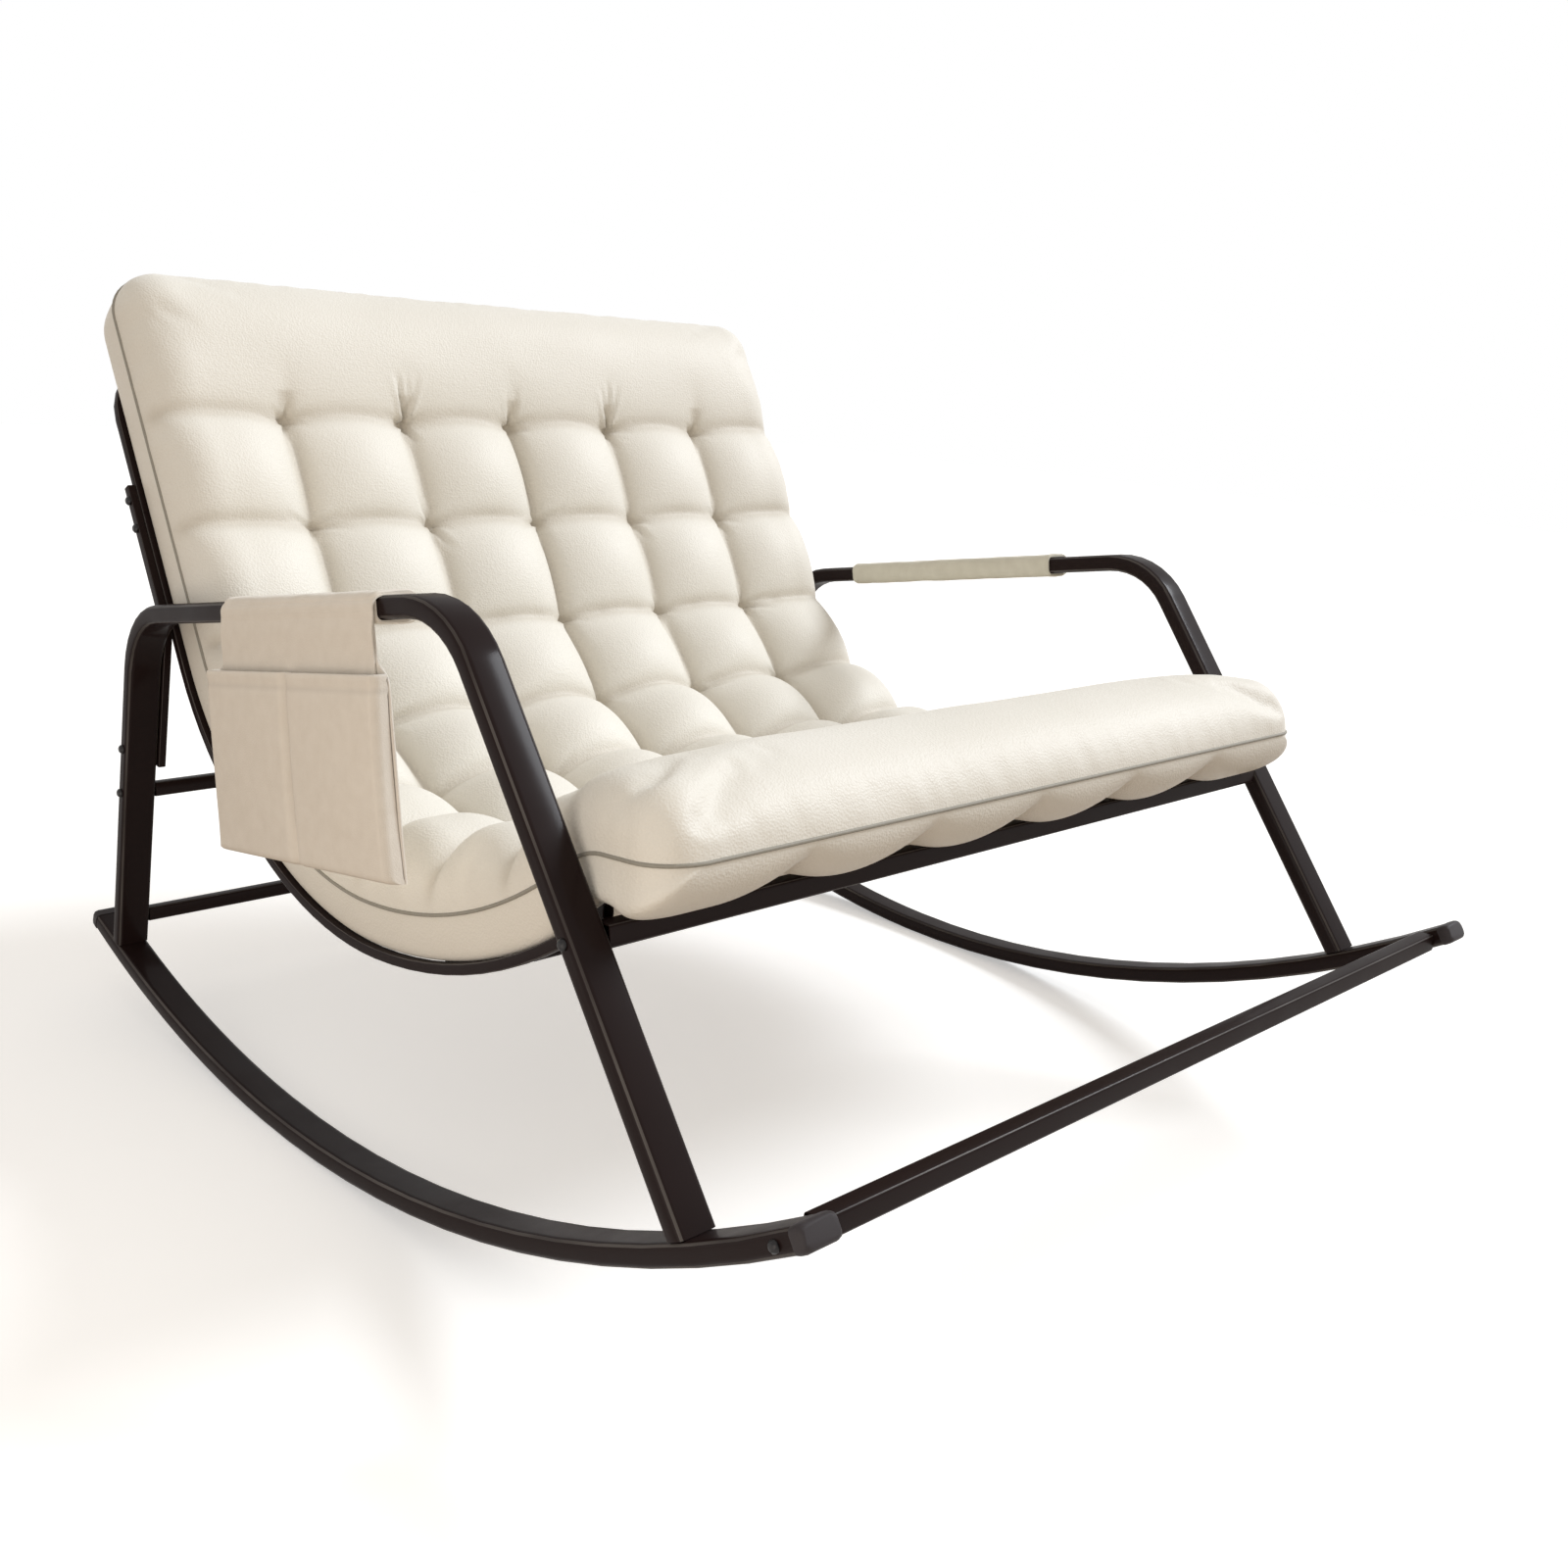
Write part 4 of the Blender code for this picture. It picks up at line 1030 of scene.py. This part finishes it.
def arm_sleeve(name, node, joint, length, seed, material):
    """A soft sleeve round an arm: wrinkled cloth with a rolled hem at each end, and a lining inside."""
    start = Vector(joints[joint]["pos_m"])
    outline = rounded_ring(SLEEVE_HALF_WIDTH, SLEEVE_HALF_DEPTH, SLEEVE_CORNER, RING_STEPS, RING_SIDE_STEPS)
    lining = rounded_ring(TUBE_WIDTH / 2 + LINING_GAP, TUBE_DEPTH / 2 + LINING_GAP, LINING_CORNER,
                          RING_STEPS, RING_SIDE_STEPS)
    places = [length * (i / SLEEVE_STEPS - 0.5) for i in range(SLEEVE_STEPS + 1)]
    rings = [sleeve_ring(start, place, length, outline, seed) for place in places]
    first, last = [[start + forward * end + X_AXIS * u + upward * v for u, v in lining]
                   for end in (-length / 2, length / 2)]
    piece = ring_piece(name, [first] + rings + [last], material, caps=False)
    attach(piece, joints[joint]["child"])
    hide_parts(node)
    return piece


saddle = arm_sleeve("pocket_saddle", "pocket_sleeve", "pocket_slide", SADDLE_LENGTH, 2.0, pocket_cloth)
sleeve = arm_sleeve("arm_sleeve", "left_arm_sleeve", "left_sleeve_slide", SLEEVE_LENGTH, 9.0, sleeve_cloth)
print("sleeves:", saddle.name, sleeve.name)

# %% [markdown]
# ## The drape over the arm
# One piece of cloth hangs over the sleeve and down to the pouch's mouth. A simulation would only find the
# line that it follows, so the line is drawn. When the pouch swings out the drape has to bend, so it rides
# on two bodies and blends from one to the other.

# %% Drape
POUCH_LENGTH = 0.350
POUCH_HEIGHT = 0.195
POUCH_DROP = 0.057
POUCH_DEPTH = 0.022
CLOTH = 0.003
DRAPE = 0.0014
DRAPE_WIDER = 1.008
DRAPE_WIDTH = DRAPE_WIDER * SADDLE_LENGTH
DRAPE_PROUD = 0.0024
DRAPE_LAP = 0.012
DRAPE_PAST_MOUTH = 0.008
DRAPE_GAP = 0.0006
DRAPE_HEM = 0.003
DRAPE_HEM_RISE = 0.0005
DRAPE_HEM_MIDDLE = 0.004
DRAPE_WAVE = 0.0006
DRAPE_NOISE = (24, 30, 11.0)
DRAPE_EASE = 0.02
TOP_STEPS = 8
HANG_STEPS = 14
DRAPE_COLUMNS = 72
hinge = Vector(joints["pouch_swing"]["pos_m"])


def on_pouch(along, out, down):
    """A place given forward along the arm, outwards from the hinge plane and down from the fold."""
    return hinge + forward * along - X_AXIS * out - upward * down


def waves(along, down, scale_along, scale_down, layer):
    """A smooth noise value for the waves of hanging cloth."""
    return noise.noise(Vector((along * scale_along, down * scale_down, layer)))


def drape_path():
    """The drape's outer line as (out, down): over the sleeve, round its corner and down to the mouth."""
    corner_down = SLEEVE_CORNER - DRAPE_LAP
    reach = SLEEVE_CORNER + DRAPE_PROUD
    back = -2 * SLEEVE_HALF_WIDTH + DRAPE_HEM
    points = [(back + (-SLEEVE_CORNER - back) * i / TOP_STEPS, corner_down - reach) for i in range(TOP_STEPS)]
    for i in range(TOP_STEPS + 1):
        turn = math.pi / 2 * i / TOP_STEPS
        points.append((reach * math.sin(turn) - SLEEVE_CORNER, corner_down - reach * math.cos(turn)))
    hang = POUCH_DROP + DRAPE_PAST_MOUTH - corner_down
    inward = CLOTH + DRAPE + DRAPE_GAP - DRAPE_PROUD
    for i in range(1, HANG_STEPS + 1):
        down = corner_down + hang * i / HANG_STEPS
        points.append((DRAPE_PROUD + inward * ramp(down / DRAPE_EASE), down))
    return points


def drape_rings(line):
    """One ring for each point of the line: the outer face across, then the inner face back."""
    rings = []
    for i, (out, down) in enumerate(line):
        before, after = line[max(i - 1, 0)], line[min(i + 1, len(line) - 1)]
        heading = Vector((after[0] - before[0], after[1] - before[1])).normalized()
        faces = ([], [])
        for k in range(DRAPE_COLUMNS + 1):
            place = DRAPE_WIDTH * (k / DRAPE_COLUMNS - 0.5)
            fold = DRAPE_WAVE * waves(place, down, *DRAPE_NOISE) * ramp(down / DRAPE_EASE)
            hem = DRAPE_HEM_RISE * bell(SADDLE_LENGTH / 2 - abs(place) - DRAPE_HEM_MIDDLE, DRAPE_HEM)
            for face, depth in zip(faces, (fold + hem, -DRAPE)):
                face.append(on_pouch(place, out + heading.y * depth, down - heading.x * depth))
        rings.append(faces[0] + faces[1][::-1])
    return rings


def line_length(line):
    return sum(math.dist(first, second) for first, second in zip(line, line[1:]))


drape_line = drape_path()
drape = ring_piece("pocket_drape", drape_rings(drape_line), pocket_cloth, caps=True)
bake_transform(drape, "pocket_sleeve", "pocket_pouch",
         start=on_pouch(0.0, 0.0, -0.004), end=on_pouch(0.0, 0.0, 0.010))
print("drape:", round(DRAPE_WIDTH, 3), "by", round(line_length(drape_line), 3), "m of cloth")

# %% [markdown]
# ## The pouch's back panel
# Behind the pockets a panel of doubled cloth hangs from the sleeve. A plane with a Solidify modifier would
# nearly do, but the panel is as narrow as the sleeve at its top and as wide as the pouch below, with soft
# edges and faint waves, so it is swept from rings.

# %% Pouch panel
PANEL_LEVELS = 64
PANEL_CORNER = 0.0014
PANEL_STEPS = 3
PANEL_SIDE_STEPS = 40
PANEL_WAVE = 0.0007
PANEL_NOISE = (22, 22, 7.0)
PANEL_STILL = 0.004
FLARE_ABOVE_MOUTH = 0.004
FLARE_REACH = 0.0035


def panel_ring(down):
    """The panel's outline at a depth below the fold."""
    wide = 1 / (1 + math.exp(-(down - POUCH_DROP + FLARE_ABOVE_MOUTH) / FLARE_REACH))
    half = SADDLE_LENGTH / 2 + (POUCH_LENGTH - SADDLE_LENGTH) / 2 * wide
    wave = PANEL_WAVE if down > PANEL_STILL else 0.0
    ring = []
    for along, out in rounded_ring(half, CLOTH / 2, PANEL_CORNER, PANEL_STEPS, PANEL_SIDE_STEPS):
        fold = wave * waves(along, down, *PANEL_NOISE)
        ring.append(on_pouch(along, CLOTH / 2 + out + fold, down))
    return ring


panel_rings = [panel_ring((POUCH_DROP + POUCH_HEIGHT) * i / PANEL_LEVELS) for i in range(PANEL_LEVELS + 1)]
panel = ring_piece("pouch_panel", panel_rings, pocket_cloth, caps=True)
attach(panel, "pocket_pouch")
print("panel faces:", len(panel.data.polygons))

# %% [markdown]
# ## The pouch's front
# A boxy cloth front is sewn to the panel, and a stitched line down its middle makes two open pockets. A box
# without a top would look hard. So a U-shaped line is swept up the inside, over the rim and down the
# outside, which gives the cloth its thickness, a hem and a soft belly.

# %% Pouch front
POUCH_CORNER = 0.007
POUCH_STEPS = 96
POUCH_LEVELS = 40
SIDE_DRAW = 0.0024
MOUTH_DRAW = 0.0035
BELLY = 0.0020
STITCH_DEPTH = 0.0080
STITCH_WIDTH = 0.0055
POUCH_WAVE = 0.0008
POUCH_NOISE = (28, 16)
POUCH_LAYER = 4.0
LAYER_PER_INSET = 50
WALL_GAP = 0.0002
LEAST_GAP = 0.0006
TURN_IN = 0.006
LEAST_TURN = 0.02
RIM = 0.0022
RIM_DROP = 0.002
RIM_STEPS = 4
MOUTH_HEM = 0.014
HEM_LINE = 0.0035
PROUD = 0.0008
SUNK = -0.0002
SEWN_DARK = 0.75
SEWN_WIDTH = 0.0028
SEWN_LENGTH = 0.165
SEWN_FADE = 0.02
HEM_DARK = 0.30
HEM_DARK_WIDTH = 0.0018


def pouch_line(down, inset):
    """The U-shaped plan line of the pouch's front at a depth, moved in by the cloth's thickness."""
    share = min(max((down - POUCH_DROP) / POUCH_HEIGHT, 0.0), 1.0)
    half = POUCH_LENGTH / 2 - SIDE_DRAW * math.sin(math.pi * share) - inset
    depth = POUCH_DEPTH - MOUTH_DRAW * (1 - share) ** 2 - inset
    points = []
    for i in range(POUCH_STEPS + 1):
        along = -half + 2 * half * i / POUCH_STEPS
        past = max(0.0, POUCH_CORNER - (half - abs(along)))
        out = depth - POUCH_CORNER + math.sqrt(max(0.0, POUCH_CORNER ** 2 - past ** 2))
        belly = BELLY * math.sin(math.pi * min(abs(along) / half, 1.0)) * math.sin(math.pi * share)
        stitch = STITCH_DEPTH * bell(along, STITCH_WIDTH)
        fold = POUCH_WAVE * waves(along, down, *POUCH_NOISE, POUCH_LAYER + inset * LAYER_PER_INSET)
        points.append((along, max(out + belly - stitch + fold, CLOTH + LEAST_GAP)))
    wall = [CLOTH + WALL_GAP, 0.4 * depth, 0.8 * (depth - POUCH_CORNER)]
    return [(-half, out) for out in wall] + points + [(half, out) for out in reversed(wall)]


def pouch_front():
    """Rows of places: up the inside, over the rim of the open mouth, down the outside and in below."""
    top = POUCH_DROP + TURN_IN
    bottom = POUCH_DROP + POUCH_HEIGHT - TURN_IN
    levels = [top + (bottom - top) * i / POUCH_LEVELS for i in range(POUCH_LEVELS + 1)]
    rows = []
    for down in reversed(levels):
        rows.append([on_pouch(along, out, down) for along, out in pouch_line(down, CLOTH)])
    for k in range(RIM_STEPS + 1):
        turn = math.pi * k / RIM_STEPS
        inset = max(CLOTH / 2 + RIM * math.cos(turn), -LEAST_GAP)
        down = POUCH_DROP + RIM_DROP - RIM * math.sin(turn)
        rows.append([on_pouch(along, out, down) for along, out in pouch_line(POUCH_DROP, inset)])
    for down in levels:
        raised = PROUD if abs(down - POUCH_DROP - MOUTH_HEM) > HEM_LINE else SUNK
        rows.append([on_pouch(along, out + raised, down) for along, out in pouch_line(down, 0.0)])
    for k in range(1, RIM_STEPS + 1):
        turn = math.pi / 2 * k / RIM_STEPS
        left = max(math.cos(turn), LEAST_TURN)
        down = bottom + TURN_IN * math.sin(turn)
        rows.append([on_pouch(along, CLOTH + (out - CLOTH) * left, down)
                     for along, out in pouch_line(bottom, 0.0)])
    return rows


def stitch_and_shade_value(place):
    """Dark stitching with painted shade: the stitched line between the pockets and the line under the mouth's
    hem.
    """
    along = (place - hinge).dot(forward)
    down = -(place - hinge).dot(upward)
    middle = SEWN_DARK * bell(along, SEWN_WIDTH) * ramp((POUCH_DROP + SEWN_LENGTH - down) / SEWN_FADE)
    return max(middle, HEM_DARK * bell(down - POUCH_DROP - MOUTH_HEM, HEM_DARK_WIDTH))


strip = bmesh.new()
add_faces(strip, [[strip.verts.new(point) for point in row] for row in pouch_front()])
pouch = to_object(strip, "pouch_front")
pouch.data.materials.append(pocket_cloth)
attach(pouch, "pocket_pouch")
# Painted shade, partly dark stitching, along the line between the pockets and under the mouth's hem.
set_painted_shade(pouch, [stitch_and_shade_value(vert.co) for vert in pouch.data.vertices])
pouch_girth = line_length(pouch_line(POUCH_DROP + POUCH_HEIGHT / 2, 0.0))
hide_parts("pocket_pouch")
print("pouch faces:", len(pouch.data.polygons), "girth", round(pouch_girth, 3), "m")

# %% [markdown]
# ## Floor and background
# The photo is a cut-out on white with a trace of shadow. A plain white floor would throw too much light up
# under the chair. So the camera sees a pale, slightly glowing floor that takes the shadow, while light that
# bounces on to the chair meets a darker, warmer one.

# %% Floor and world
FLOOR_SIZE = 12.0
FLOOR_DROP = 0.0005
FLOOR_GLOW = 0.42
FLOOR_TONES = ((0.81, 0.81, 0.80), (0.82, 0.82, 0.81), (0.83, 0.83, 0.825))
FLOOR_BOUNCE = (0.36, 0.28, 0.20)
AMBIENT = 0.58
AMBIENT_TINT = (1.0, 0.925, 0.84)


def split_rays(tree, bounced, seen, output):
    """Send one shader to bounced light, and another to rays from the camera or off metal and glass."""
    path = add_node(tree, "LightPath", {})
    share = path.outputs["Is Camera Ray"]
    for name in ("Is Glossy Ray", "Is Transmission Ray"):
        share = combine(tree, "MAXIMUM", share, path.outputs[name])
    mix = add_node(tree, "MixShader", {0: share, 1: bounced, 2: seen})
    feed(tree, tree.nodes[output], {"Surface": mix.outputs["Shader"]})


def floor_material():
    material, tree, shader = new_material("studio_floor", FLOOR_TONES[1], 0.9, specular=0.05)
    tone = blend_colours(tree, cloudy(tree, 3.0, 2.0), FLOOR_TONES[0], FLOOR_TONES[2])
    feed(tree, shader, {"Base Color": tone})
    glow = add_node(tree, "Emission", {"Strength": FLOOR_GLOW})
    lit = add_node(tree, "AddShader", {0: shader.outputs["BSDF"], 1: glow.outputs["Emission"]})
    bounce = add_node(tree, "BsdfDiffuse", {"Color": (*FLOOR_BOUNCE, 1.0)})
    split_rays(tree, bounce.outputs["BSDF"], lit.outputs["Shader"], "Material Output")
    return material


def stage_floor():
    corners = [(x * FLOOR_SIZE, y * FLOOR_SIZE, -FLOOR_DROP) for x, y in ((-1, -1), (1, -1), (1, 1), (-1, 1))]
    mesh = bpy.data.meshes.new("studio_floor")
    mesh.from_pydata(corners, [], [(0, 1, 2, 3)])
    mesh.materials.append(floor_material())
    floor = add_object("studio_floor", mesh)


def white_world():
    """A warm, dim world for the chair that the camera sees as white."""
    world = bpy.data.worlds.new("studio_world")
    scene.world = world
    world.use_nodes = True
    tree = world.node_tree
    dim = tree.nodes["Background"]
    feed(tree, dim, {"Color": (*AMBIENT_TINT, 1.0), "Strength": AMBIENT})
    white = add_node(tree, "Background", {"Color": (1.0, 1.0, 1.0, 1.0), "Strength": 1.0})
    split_rays(tree, dim.outputs["Background"], white.outputs["Background"], "World Output")


stage_floor()
white_world()
print("world:", scene.world.name)

# %% [markdown]
# ## Light
# The main light is broad and comes from high on the sitter's left. A large lamp could give it, but a soft
# sun lights the whole floor evenly as well. A weak, warm lamp low on the other side fills the shadow on the
# pocket and the side of the cushion.

# %% Lights
KEY_TOWARD = (-0.73, 0.28, -0.62)
KEY_SOFTNESS = math.radians(18.0)
KEY_POWER = 2.3
KEY_COLOUR = (0.91, 0.95, 1.0)
FILL_PLACE = (-1.9, -0.8, 0.40)
FILL_TARGET = (-0.55, 0.05, 0.42)
FILL_SIZE = (1.2, 0.9)
FILL_POWER = 8.5
FILL_COLOUR = (1.0, 0.91, 0.82)


def lamp(name, kind, toward, power, colour):
    """A lamp of a kind that shines along a direction."""
    light = bpy.data.lights.new(name, kind)
    light.energy = power
    light.color = colour
    holder = add_object(name, light)
    holder.rotation_euler = Vector(toward).to_track_quat("-Z", "Y").to_euler()
    return holder


key = lamp("key", "SUN", KEY_TOWARD, KEY_POWER, KEY_COLOUR)
key.data.angle = KEY_SOFTNESS
fill = lamp("fill", "AREA", Vector(FILL_TARGET) - Vector(FILL_PLACE), FILL_POWER, FILL_COLOUR)
fill.location = FILL_PLACE
fill.data.shape = "RECTANGLE"
fill.data.size, fill.data.size_y = FILL_SIZE
scene.view_settings.view_transform = "Standard"
print("lights:", [item.name for item in bpy.data.lights])
